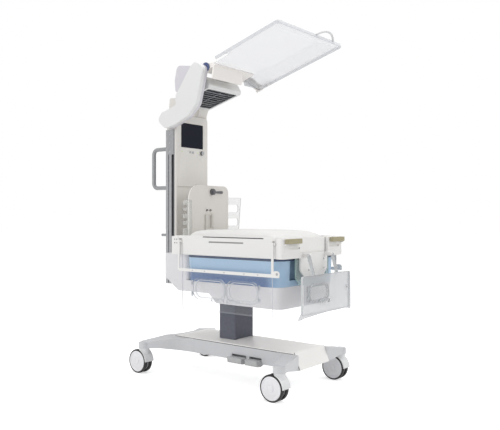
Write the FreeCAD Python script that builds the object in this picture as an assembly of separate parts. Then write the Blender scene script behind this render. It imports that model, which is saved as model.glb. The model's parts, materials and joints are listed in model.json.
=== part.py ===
"""Hybrid infant incubator and radiant warmer, in millimetres, +Z up.

The origin is on the floor under the middle of the four caster stems. +X runs from the mast at the
head end to the foot end, and -Y is the left side for someone who stands at the foot end.
The machine is drawn open: the canopy is up on its arm, and the side and foot doors hang down.
"""
import FreeCAD, Part
import math
import os

V = FreeCAD.Vector
SIDES = {"left": -1, "right": 1}
ENDS = {"foot": 1, "head": -1}

# Clearances
RUN = 0.05          # radial running fit of a pin or shaft
GAP = 0.5           # seam between a fixed insert and its pocket
SLIDE = 0.3         # gap all round the telescoping column
AIR = 1.0           # gap between a moving piece and its pocket

# Casters
STEM_X = 530.0
STEM_Y = 313.0
WHEEL_R = 75.0
WHEEL_TRAIL = 35.0
WHEEL_W = 24.0
WEB_T = 15.0
WEB_GAP = 1.5
AXLE_R = 6.0
STEM_R = 11.0
STEM_LEN = 30.0
LEG_END_R = 37.0
FORK_TOP = 160.0
BRAKE_PIVOT = (-26.0, 12.0)
BRAKE_T = 5.6
BRAKE_TIP = 80.0
BRAKE_LUG = 9.0

# Base
BEAM_HALF = 150.0
BEAM_REAR = -452.0
BEAM_BOTTOM = 140.0
SEAM_Z = 226.0
LEG_TOP = 190.0
LEG_BOTTOM = FORK_TOP + AIR
LEG_HALF_W = 34.0
COVER_REAR = -416.0
COVER_SEAM_FRONT = 508.0
NOSE_FRONT = 556.0
NOSE_LEAN = 22.0
COVER_TOP = 245.0
COVER_EDGE_TOP = 233.0
PEDAL_SPANS = {"up": (60.0, 168.0), "down": (194.0, 282.0)}
PEDAL_Z = 150.0
PEDAL_REACH = 42.0
PEDAL_H = 30.0
PEDAL_DEPTH = 46.0
PIN_R = 4.0

# Lift column
COLUMN_X = -30.0
COLUMN_L = 132.0
COLUMN_W = 180.0
COLUMN_WALL = 6.0
COLUMN_FOOT = 160.0
COLUMN_TOP = 615.0
SLEEVE_BOTTOM = 462.0
SLEEVE_CAP = 8.0
ACTUATOR_R = 27.0
ROD_OVERLAP = 240.0
ROD_R = 12.0
MOTOR_R = 40.0
MOTOR_H = 70.0

# Deck width, which the tub, the shell, the walls and the canopy follow
BED_HALF = 309.0
POCKET_HALF = BED_HALF - 37.0

# Under-shell and blue tub
SHELL_WALL = 4.0
TUB_HALF = BED_HALF - 10.0
SHELL_RIM = 606.0
SHELL_FLOOR = 480.0
SHELL_HALF = TUB_HALF - 15.0
SHELL_FLOOR_HALF = SHELL_HALF - 44.0
SHELL_FOOT = 506.0
SHELL_FLOOR_FOOT = 482.0
SHELL_FLOOR_HEAD = -14.0
HOUSING_HALF = BED_HALF - 47.0
HOUSING_HEAD = -330.0
HOUSING_FOOT = 60.0
HOUSING_FLARE = 26.0
SHELL_HEAD = -110.0
HOUSING_FLOOR = 534.0
TUB_HEAD = -196.0
TUB_FOOT = 514.0
TUB_TOP = 764.0
TUB_RECESS_HALF = 188.0
TUB_RECESS_X = 478.0

# Bed frame, which rests on the cap of the sleeve
BED_HEAD = -286.0
BED_FOOT = 522.0
BED_BOTTOM = TUB_TOP + GAP
SLEEVE_TOP = BED_BOTTOM
BED_TOP = 878.0
POCKET_HEAD = -240.0
POCKET_FOOT = 498.0
BED_FLOOR_T = 12.0
HATCH = (70.0, 438.0)
SIDE_SLOT = (15.0, 275.0)
SIDE_SLOT_Z = (841.0, 849.0)
SHADOW_SLOT = (-28.0, 416.0)
ARM_SLOT_TOP = 862.0
HEAD_BLOCK_END = -229.0
FOOT_BLOCK_X = 552.0
FOOT_BLOCK_HALF = 140.0
BLOCK_PROUD = 3.0
GRIP_SPAN = (FOOT_BLOCK_HALF + 16.0, BED_HALF - 9.0)
GRIP_Z = 860.0
GRIP_H = 26.0
GRIP_T = 24.0

# Tray and mattress
TRAY_TOP = 850.0
TRAY_SKIRT = 44.0
REST_PAD = 22.0
TRAY_PIVOT = (478.0, 812.0)
MATTRESS_TOP = 912.0
MATTRESS_HALF = POCKET_HALF - 18.0
MATTRESS_INSET = 10.0
SOFT_GAP = 0.3

# Foot bracket, window and door
BRACKET_HALF = FOOT_BLOCK_HALF - 1.5
BRACKET_Z = (661.0, 790.0)
BRACKET_X = 537.0
BRACKET_T = 10.0
WINDOW_Z = (612.0, 762.0)
FOOT_DOOR_X = 622.0
FOOT_DOOR_HALF = BED_HALF - 43.0
FOOT_DOOR_Z = (448.0, 672.0)
FOOT_DOOR_TAIL = 19.0
FOOT_HINGE = (590.0, 778.0)
FOOT_ARM_Y = (116.0, 130.0)
FOOT_PORT_Y = (-180.0, 18.0)
FOOT_PORT_Z = (522.0, 626.0)

# Side doors
DOOR_X = (-184.0, 488.0)
DOOR_Z = (446.0, 770.0)
DOOR_Y = BED_HALF + 8.0
PANE_T = 5.0
DOOR_HINGE = (BED_HALF + 10.5, 845.0)
RAIL_X = (-206.0, 536.0)
RAIL_Z = (666.0, 684.0)
RAIL_T = 5.0
DOOR_ARM_X = (491.0, -212.0)
DOOR_ARM_W = 14.0
PORTS = {"head": (-90.0, 160.0), "foot": (170.0, 398.0)}
PORT_Z = (508.0, 634.0)
PORT_T = 4.0
PORT_LIP = 16.0
PORT_OUT = 6.0      # hinge pin to the face of the pane
PORT_EDGE = 7.0     # hinge pin to the near edge of the flap
PORT_PIN_R = 2.5
LATCH = (90.0, 18.0)
KNUCKLE_R = 5.0
KNUCKLE_W = 14.0

# Mast
MAST_FRONT = -408.0
MAST_SKIN = 12.0
MAST_REAR = -503.0
MAST_HALF = 152.0
MAST_BOTTOM = 550.0
MAST_TOP = 1657.0
RAIL_TOP = 1556.0
RAIL_W = 32.0
RAIL_GROOVE = (-452.0, -428.0)
RAIL_SLOT = (-482.0, -474.0)
SIDE_PLATE = (-486.0, -430.0)
SIDE_PLATE_Z = 1394.0
CHEEK_X = (-495.0, -425.0)
STEP_Z = 1189.0
STEP_DEPTH = 5.0
SCREEN_Y = (-105.0, 102.0)
SCREEN_Z = (1444.0, 1603.0)
CONTROLS_Z = 1416.0
KNOB_Y = 89.0
KNOB_R = 13.0
KEY_Y = {"menu": -20.0, "silence": 6.0}
KEY_SIZE = (16.0, 12.0)
KEY_TRAVEL = 1.5
HANDLE_R = 13.0
HANDLE_Y = 134.0
HANDLE_REACH = 129.0
HANDLE_BEND = 34.0
HANDLE_Z = (1180.0, 1434.0)
PEG_Z = 872.0
PEG_R = 9.0
PEG_LEN = 50.0
PEG_COLLAR = 6.0

# Head plate
PLATE_X = -266.0
PLATE_ROUND_LEFT = 85.0
PLATE_ROUND_RIGHT = 45.0
KEEPER_END = 101.0
SMALL_GROMMET_DROP = 121.0
PLATE_T = 8.0
PLATE_HALF = 188.0
PLATE_TOP = 1192.0
GUIDE_T = 6.0
WING_TOP = BED_TOP + 242.0
TUBE_NOTCHES = ((54.0, 102.0), (144.0, 194.0))
COMB_TOP = BED_TOP + 220.0
COMB_SLOTS = (44.0, 88.0, 132.0, 170.0)
GROMMET = (26.0, PLATE_TOP - 39.0)
CLIP_Z = (BED_TOP + 25.0, BED_TOP + 131.0)

# Heater
POST_HALF = (64.0, 148.0)
HEATER_HALF = 155.0
HEATER_TILT = 15.0
HEATER_REAR = (-404.0, 1712.0)
HEATER_LEN = 288.0
HEATER_ROOM = 52.0
HEATER_SLOT_Y = (-60.0, 66.0)
HEATER_SLOT_Z = (66.0, 71.0)
GRILLE_BARS = 9

# Arm and canopy
ARM_PIVOT = (-455.0, 1600.0)
ARM_INNER = -190.0
ARM_OUTER = -232.0
ARM_SPLIT = -206.0
ARM_SHAFT_R = 18.0
HINGE = (-120.0, 1906.0)
# Rear shoulder of the arm, from the canopy hinge: along, up, corner radius
SHOULDER = [(-256.0, -122.0, 20.0), (-262.0, -46.0, 60.0), (-240.0, 44.0, 30.0), (-110.0, 24.0, 20.0),
            (-90.0, -60.0, 20.0), (-170.0, -140.0, 20.0)]
CANOPY_TILT = 16.5
CANOPY_HALF = BED_HALF + 25.0
CANOPY_HEAD = -16.0
CANOPY_FOOT = 665.0
RIM_Z = -52.0
RIM_H = 17.0
ROOF_Z = -6.0
ROOF_HALF = 236.0
CANOPY_T = 4.0
NECK_HALF = 190.0
NECK_LEFT = ARM_INNER + 8.0 + AIR
NECK_PIN_END = -150.0
NECK_PIN_R = 9.0
BOW_Y = (40.0, 225.0)
NECK_X = (-34.0, 74.0)
APRON_RIGHT = 95.0
APRON_BOTTOM = (24.0, -84.0)
NOTCH_FOOT = 200.0


def point(plane, a, b, at):
    """A point of an outline: plane names the two axes that a and b run along."""
    return {"xy": V(a, b, at), "xz": V(a, at, b), "yz": V(at, a, b)}[plane]


def outline(corners, plane, at, radius=0.0):
    """Closed wire through corners (a, b) or (a, b, r), each rounded by an arc of its radius."""
    count = len(corners)
    starts, ends, mids = [], [], []
    for i, corner in enumerate(corners):
        a, b = corner[0], corner[1]
        r = corner[2] if len(corner) > 2 else radius
        before, after = corners[i - 1], corners[(i + 1) % count]
        into = V(before[0] - a, before[1] - b, 0)
        out = V(after[0] - a, after[1] - b, 0)
        turn = into.getAngle(out)
        reach = 0.0
        if r > 0:
            reach = min(r / math.tan(turn / 2), 0.49 * into.Length, 0.49 * out.Length)
        into.normalize()
        out.normalize()
        r = reach * math.tan(turn / 2)
        tip = V(a, b, 0)
        starts.append(tip + into * reach)
        ends.append(tip + out * reach)
        half = into + out
        if reach > 0:
            half.normalize()
            mids.append(tip + half * (r / math.sin(turn / 2) - r))
        else:
            mids.append(None)
    edges = []
    for i in range(count):
        place = [point(plane, p.x, p.y, at) for p in (starts[i], ends[i])]
        if mids[i] is not None:
            middle = point(plane, mids[i].x, mids[i].y, at)
            edges.append(Part.Arc(place[0], middle, place[1]).toShape())
        after = starts[(i + 1) % count]
        goal = point(plane, after.x, after.y, at)
        if (goal - place[1]).Length > 1e-6:
            edges.append(Part.LineSegment(place[1], goal).toShape())
    return Part.Wire(edges)


def plate(corners, plane, low, high, radius=0.0):
    """Solid of an outline carried from low to high along the third axis."""
    along = {"xy": V(0, 0, 1), "xz": V(0, 1, 0), "yz": V(1, 0, 0)}[plane]
    low, high = min(low, high), max(low, high)
    return Part.Face(outline(corners, plane, low, radius)).extrude(along * (high - low))


def box(x, y, z):
    """Block between the two numbers of each pair."""
    low = V(min(x), min(y), min(z))
    return Part.makeBox(max(x) - low.x, max(y) - low.y, max(z) - low.z, low)


def rect(a, b):
    """Corners of the rectangle between the pairs a and b."""
    return [(a[0], b[0]), (a[1], b[0]), (a[1], b[1]), (a[0], b[1])]


def rod(start, end, r):
    """Round bar from start to end."""
    start, end = V(*start), V(*end)
    return Part.makeCylinder(r, (end - start).Length, start, end - start)


def frustum(low, high, low_z, high_z):
    """Loft between two rounded rectangles: each is ((x0, x1), (y0, y1), radius)."""
    wires = [outline(rect(x, y), "xy", z, r) for (x, y, r), z in ((low, low_z), (high, high_z))]
    return Part.makeLoft(wires, True, True)


def mirrored(shape):
    """The same shape on the other side of the middle plane y = 0."""
    return shape.mirror(V(0, 0, 0), V(0, 1, 0))


def on_side(shape, side):
    """A shape drawn on the left side, put on the side that is asked for."""
    return shape if side < 0 else mirrored(shape)


def cut(shape, *tools):
    for tool in tools:
        shape = shape.cut(tool)
    return shape


def join(*shapes):
    result = shapes[0].fuse(list(shapes[1:])) if len(shapes) > 1 else shapes[0]
    return result.removeSplitter()


def save(name, *shapes):
    """One STEP file for a node; several shapes stay separate solids."""
    shape = shapes[0] if len(shapes) == 1 else Part.makeCompound(list(shapes))
    solids = len(shape.Solids)
    print(f"{name}: {solids} solid(s), {shape.Volume / 1000:.0f} cm3, valid {shape.isValid()}")
    shape.exportStep(f"parts/{name}.step")


# Casters

def stem_at(end, side):
    return end * STEM_X, side * STEM_Y


def caster_fork(end, side):
    """Centre web between the twin wheels, hood over their front, and the swivel stem."""
    x, y = stem_at(end, side)
    wheel_x = x - WHEEL_TRAIL
    hood_r = WHEEL_R + 9
    half = WEB_T / 2 + WEB_GAP + WHEEL_W + 2
    ring = rod((wheel_x, y - half, WHEEL_R), (wheel_x, y + half, WHEEL_R), hood_r)
    front = box((wheel_x + 24, x + 60), (y - half, y + half), (WHEEL_R + 4, FORK_TOP))
    boss = rod((x, y, WHEEL_R + 30), (x, y, FORK_TOP), LEG_END_R - 5)
    wheel_room = rod((wheel_x, y - half - 1, WHEEL_R), (wheel_x, y + half + 1, WHEEL_R), WHEEL_R + 3)
    hood = cut(ring.common(front).fuse(boss), wheel_room)
    px, _, pz = brake_pivot(end, side)
    lug = BRAKE_LUG
    web_corners = [(wheel_x - 18, WHEEL_R - 16, 16), (wheel_x + 18, WHEEL_R - 16, 16),
                   (x + 26, FORK_TOP - 24, 8), (x + 20, FORK_TOP - 6), (x - 24, FORK_TOP - 6),
                   (px + 14, pz + 16, 10), (px - lug, pz + lug, 7), (px - lug, pz - lug, 7),
                   (px + 8, pz - lug)]
    web = plate(web_corners, "xz", y - WEB_T / 2, y + WEB_T / 2)
    stem = rod((x, y, FORK_TOP - 8), (x, y, FORK_TOP + STEM_LEN), STEM_R)
    bore = rod((wheel_x, y - half, WHEEL_R), (wheel_x, y + half, WHEEL_R), AXLE_R + RUN)
    slot_half = BRAKE_T / 2 + AIR
    brake_slot = box((px - 30, px + 12), (y - slot_half, y + slot_half), (pz - 20, pz + 20))
    brake_bore = rod((px, y - WEB_T, pz), (px, y + WEB_T, pz), PIN_R + RUN)
    return cut(join(hood, web, stem), bore, brake_slot, brake_bore)


def caster_wheel(end, side):
    """Two soft tyres on two dished discs, and the axle that joins them."""
    x, y = stem_at(end, side)
    wheel_x = x - WHEEL_TRAIL
    inner = WEB_T / 2 + WEB_GAP
    rim_r = WHEEL_R - 12
    pieces = []
    for way in (-1, 1):
        tyre = [(0, rim_r), (0, WHEEL_R - 5), (5, WHEEL_R), (WHEEL_W - 5, WHEEL_R),
                (WHEEL_W, WHEEL_R - 5), (WHEEL_W, rim_r)]
        disc = [(0, 0), (0, 20), (5, 24), (5, rim_r), (WHEEL_W, rim_r), (WHEEL_W + 3, rim_r - 9),
                (WHEEL_W + 3, 0)]
        for profile in (tyre, disc):
            corners = [V(wheel_x, y + way * (inner + a), WHEEL_R + b) for a, b in profile]
            face = Part.Face(Part.makePolygon(corners + corners[:1]))
            turned = face.revolve(V(wheel_x, y, WHEEL_R), V(0, 1, 0), 360)
            pieces.append(Part.Solid(turned) if turned.ShapeType != "Solid" else turned)
    pieces.append(rod((wheel_x, y - inner, WHEEL_R), (wheel_x, y + inner, WHEEL_R), AXLE_R))
    return pieces


def caster_brake(end, side):
    """Toe lever that tips on its pin in the lug of the web and ends behind the wheels."""
    y = stem_at(end, side)[1]
    px, _, pz = brake_pivot(end, side)
    tip = stem_at(end, side)[0] - WHEEL_TRAIL - BRAKE_TIP
    half = WEB_T / 2 - AIR
    lever = [(px - 2, pz + 8, 3), (px + 7, pz + 6, 5), (px + 7, pz - 6, 5), (px - 30, pz - 8, 4),
             (tip + 12, WHEEL_R - 10, 2), (tip, WHEEL_R - 6, 2), (tip, WHEEL_R + 2, 2), (px - 30, pz + 5, 4)]
    body = plate(lever, "xz", y - half, y + half)
    for way in (-1, 1):
        body = body.cut(box((px - BRAKE_LUG - 3, px + 20), (y + way * BRAKE_T / 2, y + way * WEB_T),
                            (pz - 20, pz + 20)))
    return join(body, rod((px, y - WEB_T / 2, pz), (px, y + WEB_T / 2, pz), PIN_R))


def brake_pivot(end, side):
    x, y = stem_at(end, side)
    return x - WHEEL_TRAIL + BRAKE_PIVOT[0], y, WHEEL_R + BRAKE_PIVOT[1]


# Base

def base_frame():
    """H-shaped casting: a long beam, four swept legs with round swivel ends, pedal pockets."""
    end = LEG_HALF_W
    half = [(BEAM_REAR, -60, 80), (-STEM_X - end, -STEM_Y, 8), (-STEM_X + end, -STEM_Y - 10, 8),
            (-318, -BEAM_HALF, 190), (432, -BEAM_HALF, 70), (STEM_X - end, -STEM_Y - 10, 8),
            (STEM_X + end, -STEM_Y, 8), (COVER_SEAM_FRONT + 34, -BEAM_HALF, 60)]
    other = [(c[0], -c[1], c[2]) for c in reversed(half)]
    plan = plate(half + other, "xy", BEAM_BOTTOM, SEAM_Z)
    reach = STEM_Y + 60
    section = [(-reach, LEG_BOTTOM), (-STEM_Y + 40, LEG_BOTTOM), (-BEAM_HALF, BEAM_BOTTOM),
               (BEAM_HALF, BEAM_BOTTOM), (STEM_Y - 40, LEG_BOTTOM), (reach, LEG_BOTTOM),
               (reach, LEG_TOP), (BEAM_HALF, SEAM_Z), (-BEAM_HALF, SEAM_Z), (-reach, LEG_TOP)]
    body = plan.common(plate(section, "yz", -STEM_X - 80, STEM_X + 80))
    ends = [rod((sx * STEM_X, sy * STEM_Y, LEG_BOTTOM), (sx * STEM_X, sy * STEM_Y, LEG_TOP + 6),
                LEG_END_R) for sx in (-1, 1) for sy in (-1, 1)]
    body = body.fuse(ends).removeSplitter()
    lean = NOSE_LEAN / (SEAM_Z - BEAM_BOTTOM)
    nose = [(COVER_SEAM_FRONT - lean, SEAM_Z + 1), (COVER_SEAM_FRONT + NOSE_LEAN + lean, BEAM_BOTTOM - 1),
            (NOSE_FRONT + 60, BEAM_BOTTOM - 1), (NOSE_FRONT + 60, SEAM_Z + 1)]
    body = body.cut(plate(nose, "xz", -BEAM_HALF, BEAM_HALF))
    stems = [rod((sx * STEM_X, sy * STEM_Y, FORK_TOP - 4),
                 (sx * STEM_X, sy * STEM_Y, FORK_TOP + STEM_LEN + 1), STEM_R + RUN)
             for sx in (-1, 1) for sy in (-1, 1)]
    seat = plate(rect((COLUMN_X - COLUMN_L / 2, COLUMN_X + COLUMN_L / 2),
                      (-COLUMN_W / 2, COLUMN_W / 2)), "xy", COLUMN_FOOT, SEAM_Z + 1, 12)
    pockets = []
    for span in PEDAL_SPANS.values():
        x = (span[0] - AIR, span[1] + AIR)
        pockets.append(box(x, (-BEAM_HALF - 20, -BEAM_HALF + PEDAL_DEPTH), (BEAM_BOTTOM - 5, SEAM_Z - 52)))
        pockets.append(rod((span[0] - 10, pedal_axis()[0], PEDAL_Z), (span[1] + 10, pedal_axis()[0], PEDAL_Z),
                           PIN_R + RUN))
    return cut(body, seat, *stems, *pockets)


def base_cover():
    """Crowned top cover whose foot end wraps down over the beam as a sloping nose."""
    side = [(COVER_REAR, SEAM_Z), (COVER_SEAM_FRONT, SEAM_Z), (COVER_SEAM_FRONT + NOSE_LEAN, BEAM_BOTTOM),
            (NOSE_FRONT, BEAM_BOTTOM, 8), (COVER_SEAM_FRONT + 8, COVER_TOP - 6, 26),
            (COVER_SEAM_FRONT - 80, COVER_TOP, 300), (COVER_REAR + 90, COVER_TOP, 200),
            (COVER_REAR, SEAM_Z + 3)]
    body = plate(side, "xz", -BEAM_HALF, BEAM_HALF)
    crown = Part.Arc(V(-700, -BEAM_HALF, COVER_EDGE_TOP), V(-700, 0, COVER_TOP + 2),
                     V(-700, BEAM_HALF, COVER_EDGE_TOP)).toShape()
    low_left, low_right = V(-700, -BEAM_HALF, 100), V(-700, BEAM_HALF, 100)
    sides = [Part.LineSegment(V(-700, BEAM_HALF, COVER_EDGE_TOP), low_right).toShape(),
             Part.LineSegment(low_right, low_left).toShape(),
             Part.LineSegment(low_left, V(-700, -BEAM_HALF, COVER_EDGE_TOP)).toShape()]
    section = Part.Face(Part.Wire([crown] + sides)).extrude(V(1400, 0, 0))
    body = body.common(section)
    hole = plate(rect((COLUMN_X - COLUMN_L / 2, COLUMN_X + COLUMN_L / 2),
                      (-COLUMN_W / 2, COLUMN_W / 2)), "xy", SEAM_Z - 1, COVER_TOP + 10, 12)
    return body.cut(hole)


def pedal_axis():
    return -BEAM_HALF + 30.0, PEDAL_Z


def lift_pedal(name):
    """Foot pedal with a raised toe edge, on its own cross pin inside the beam."""
    x0, x1 = PEDAL_SPANS[name]
    inner = -BEAM_HALF + PEDAL_DEPTH - 8
    outer = -BEAM_HALF - PEDAL_REACH
    side = [(inner, PEDAL_Z - 12, 4), (inner, PEDAL_Z + 10, 4), (-BEAM_HALF - 4, PEDAL_Z + 12, 3),
            (outer + 14, PEDAL_Z + 8, 8), (outer, PEDAL_Z + 16, 3), (outer - 4, PEDAL_Z + 10, 3),
            (outer, PEDAL_Z - PEDAL_H + 10, 6), (-BEAM_HALF - 6, PEDAL_Z - PEDAL_H + 6, 8)]
    body = plate(side, "yz", x0, x1)
    pin = rod((x0 - 8, pedal_axis()[0], PEDAL_Z), (x1 + 8, pedal_axis()[0], PEDAL_Z), PIN_R)
    return join(body, pin)


# Lift column

def column_plan(grow):
    x = (COLUMN_X - COLUMN_L / 2 - grow, COLUMN_X + COLUMN_L / 2 + grow)
    y = (-COLUMN_W / 2 - grow, COLUMN_W / 2 + grow)
    return rect(x, y)


def lift_column():
    """Rectangular steel tube with rounded corners, seated in the beam."""
    outer = plate(column_plan(0), "xy", COLUMN_FOOT, COLUMN_TOP, 12)
    return outer.cut(plate(column_plan(-COLUMN_WALL), "xy", COLUMN_FOOT - 1, COLUMN_TOP + 1, 6))


def lift_sleeve():
    """Outer tube that slides on the column and carries the bed."""
    outer = plate(column_plan(SLIDE + COLUMN_WALL), "xy", SLEEVE_BOTTOM, SLEEVE_TOP, 18)
    return outer.cut(plate(column_plan(SLIDE), "xy", SLEEVE_BOTTOM - 1, SLEEVE_TOP - SLEEVE_CAP, 12 + SLIDE))


def lift_actuator():
    """Motor housing and guide tube of the electric spindle, inside the column."""
    foot = COLUMN_FOOT
    motor = rod((COLUMN_X, 0, foot), (COLUMN_X, 0, foot + MOTOR_H), MOTOR_R)
    tube = rod((COLUMN_X, 0, foot + MOTOR_H), (COLUMN_X, 0, COLUMN_TOP - 20), ACTUATOR_R)
    bore = rod((COLUMN_X, 0, foot + MOTOR_H), (COLUMN_X, 0, COLUMN_TOP), ROD_R + RUN)
    return motor.fuse(tube).removeSplitter().cut(bore)


def actuator_rod():
    """Spindle rod from the guide tube up to the end plate of the sleeve."""
    return rod((COLUMN_X, 0, COLUMN_TOP - ROD_OVERLAP), (COLUMN_X, 0, SLEEVE_TOP - SLEEVE_CAP), ROD_R)


# Bed

def under_shell():
    """Tapered service tub under the bed, with the rear housing that reaches up to the bed frame."""
    def tub(wall):
        low = ((SHELL_FLOOR_HEAD + wall, SHELL_FLOOR_FOOT - wall),
               (-SHELL_FLOOR_HALF + wall, SHELL_FLOOR_HALF - wall), 46 - wall)
        high = ((SHELL_HEAD + wall, SHELL_FOOT - wall), (-SHELL_HALF + wall, SHELL_HALF - wall), 60 - wall)
        return frustum(low, high, SHELL_FLOOR + wall, SHELL_RIM + (1 if wall else 0))

    def housing(wall):
        half = HOUSING_HALF - wall
        low = ((HOUSING_HEAD + wall, HOUSING_FOOT), (-half + HOUSING_FLARE, half - HOUSING_FLARE), 40 - wall)
        high = ((MAST_FRONT + wall, HOUSING_FOOT), (-half, half), 50 - wall)
        return frustum(low, high, HOUSING_FLOOR + wall, SHELL_RIM + (1 if wall else 0))
    tower = plate(rect((MAST_FRONT, TUB_HEAD - GAP), (-HOUSING_HALF, HOUSING_HALF)), "xy",
                  SHELL_RIM, BED_BOTTOM, 30)
    tower_room = plate(rect((MAST_FRONT + SHELL_WALL, TUB_HEAD - GAP - SHELL_WALL),
                            (-HOUSING_HALF + SHELL_WALL, HOUSING_HALF - SHELL_WALL)), "xy",
                       SHELL_RIM - 1, BED_BOTTOM - SHELL_WALL, 26)
    skin = join(tub(0), housing(0), tower)
    hole = plate(column_plan(SLIDE + COLUMN_WALL + GAP), "xy", SHELL_FLOOR - 5, HOUSING_FLOOR + 30, 18)
    return cut(skin, tub(SHELL_WALL), housing(SHELL_WALL), tower_room, hole)


def blue_tub():
    """Blue belt of the air system: rounded foot corners and a recess for the foot bracket."""
    def belt(wall, extra):
        low = ((TUB_HEAD + 6 + wall, TUB_FOOT - 8 - wall), (-SHELL_HALF + wall, SHELL_HALF - wall), 62)
        high = ((TUB_HEAD + wall, TUB_FOOT - wall), (-TUB_HALF + wall, TUB_HALF - wall), 76)
        return frustum(low, high, SHELL_RIM + GAP - extra, TUB_TOP + extra)
    skin = belt(0, 0).cut(belt(SHELL_WALL, 0.01))
    recess_room = plate([(TUB_FOOT + 20, -TUB_RECESS_HALF - 16), (TUB_FOOT + 20, TUB_RECESS_HALF + 16),
                         (TUB_RECESS_X, TUB_RECESS_HALF - 14, 16), (TUB_RECESS_X, -TUB_RECESS_HALF + 14, 16)],
                        "xy", SHELL_RIM + 34, TUB_TOP + 1)
    w = SHELL_WALL
    recess = plate([(TUB_FOOT + 20, -TUB_RECESS_HALF - 16 - w), (TUB_FOOT + 20, TUB_RECESS_HALF + 16 + w),
                    (TUB_RECESS_X - w, TUB_RECESS_HALF - 14 + w, 16),
                    (TUB_RECESS_X - w, -TUB_RECESS_HALF + 14 - w, 16)],
                   "xy", SHELL_RIM + 34 - w, TUB_TOP)
    lining = recess.common(belt(0, 0))
    return join(skin, lining).cut(recess_room)


def bed_frame():
    """Moulded deck frame round the mattress well, with hinge slots down both sides."""
    body = frustum(((BED_HEAD + 6, BED_FOOT - 4), (-BED_HALF + 4, BED_HALF - 4), 44),
                   ((BED_HEAD, BED_FOOT), (-BED_HALF, BED_HALF), 48), BED_BOTTOM, BED_TOP)
    well = plate(rect((POCKET_HEAD, POCKET_FOOT), (-POCKET_HALF, POCKET_HALF)), "xy",
                 BED_BOTTOM + BED_FLOOR_T, BED_TOP + 1, 24)
    hatch = plate(rect(HATCH, (-POCKET_HALF + 50, POCKET_HALF - 50)), "xy",
                  BED_BOTTOM - 1, BED_BOTTOM + BED_FLOOR_T + 1, 30)
    tools = [well, hatch]
    for side in (-1, 1):
        y = (side * (BED_HALF - 12), side * (BED_HALF + 10))
        for x in DOOR_ARM_X:
            slot = (x - DOOR_ARM_W / 2 - 6, x + DOOR_ARM_W / 2 + 6)
            tools.append(box(slot, y, (BED_BOTTOM - 1, ARM_SLOT_TOP)))
        tools.append(box(SIDE_SLOT, (side * (BED_HALF - 6), side * (BED_HALF + 6)), SIDE_SLOT_Z))
        tools.append(box(SHADOW_SLOT, (side * (BED_HALF - 14), side * (BED_HALF + 6)),
                         (BED_TOP - 6, BED_TOP - 3)))
        tools.append(box((BED_HEAD - 5, HEAD_BLOCK_END), (side * (BED_HALF - 50), side * (BED_HALF + 9)),
                         (BED_BOTTOM - 1, BED_TOP - 4)))
        tools.append(rod((TRAY_PIVOT[0], side * (POCKET_HALF - 2), TRAY_PIVOT[1]),
                         (TRAY_PIVOT[0], side * (POCKET_HALF + 10), TRAY_PIVOT[1]), PIN_R + RUN))
    tools.append(box((BED_FOOT - 16, BED_FOOT + 5), (-BED_HALF - 5, BED_HALF + 5),
                     (BED_BOTTOM - 1, BED_TOP - 4)))
    pads = []
    for side in (-1, 1):
        y = (side * (POCKET_HALF - 82), side * (POCKET_HALF - 82 + 2 * REST_PAD))
        pads.append(box((POCKET_HEAD - 1, POCKET_HEAD + REST_PAD), y,
                        (BED_BOTTOM + BED_FLOOR_T, TRAY_TOP - TRAY_SKIRT - SOFT_GAP)))
    return join(cut(body, *tools), *pads)


def corner_blocks():
    """Head and foot corner mouldings, and the foot end panel between them."""
    pieces = []
    for side in (-1, 1):
        y = (side * (BED_HALF - 50), side * (BED_HALF + BLOCK_PROUD))
        head = plate(rect((BED_HEAD - 4, HEAD_BLOCK_END), (min(y), max(y))), "xy", BED_BOTTOM, BED_TOP - 4, 8)
        pieces.append(head)
        y = (side * FOOT_BLOCK_HALF, side * (BED_HALF + 2))
        corner = [(BED_FOOT - 16, side * FOOT_BLOCK_HALF), (FOOT_BLOCK_X, side * FOOT_BLOCK_HALF, 6),
                  (FOOT_BLOCK_X, side * (BED_HALF + 2), 34), (BED_FOOT - 16, side * (BED_HALF + 2))]
        foot = plate(corner, "xy", BED_BOTTOM, BED_TOP - 4)
        slot = (min(GRIP_SPAN) - 4, max(GRIP_SPAN) - 40)
        finger = box((FOOT_BLOCK_X - 6, FOOT_BLOCK_X + 5), (side * slot[0], side * slot[1]), (816, 828))
        pin = rod((FOOT_BLOCK_X + 8, side * grip_axis()[1], BED_BOTTOM + 60),
                  (FOOT_BLOCK_X + 8, side * grip_axis()[1], GRIP_Z + 30), PIN_R)
        near, far = side * (grip_axis()[1] - 8), side * (grip_axis()[1] + 8)
        ear = plate([(FOOT_BLOCK_X - 2, near), (FOOT_BLOCK_X + 14, near, 5),
                     (FOOT_BLOCK_X + 14, far, 5), (FOOT_BLOCK_X - 2, far)],
                    "xy", GRIP_Z - GRIP_H / 2 - 8, GRIP_Z - GRIP_H / 2 - 1)
        pin = pin.common(box((0, 999), (-999, 999), (GRIP_Z - GRIP_H / 2 - 8, GRIP_Z + GRIP_H / 2 - 6)))
        pieces.append(join(foot.cut(finger), ear, pin))
    pieces.append(plate(rect((BED_FOOT - 16, BED_FOOT + 10), (-FOOT_BLOCK_HALF + 1.5, FOOT_BLOCK_HALF - 1.5)),
                        "xy", BED_BOTTOM + 22, BED_TOP - 4, 2))
    return pieces


def grip_axis():
    return FOOT_BLOCK_X + 8.0, GRIP_SPAN[1] - 12.0


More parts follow.
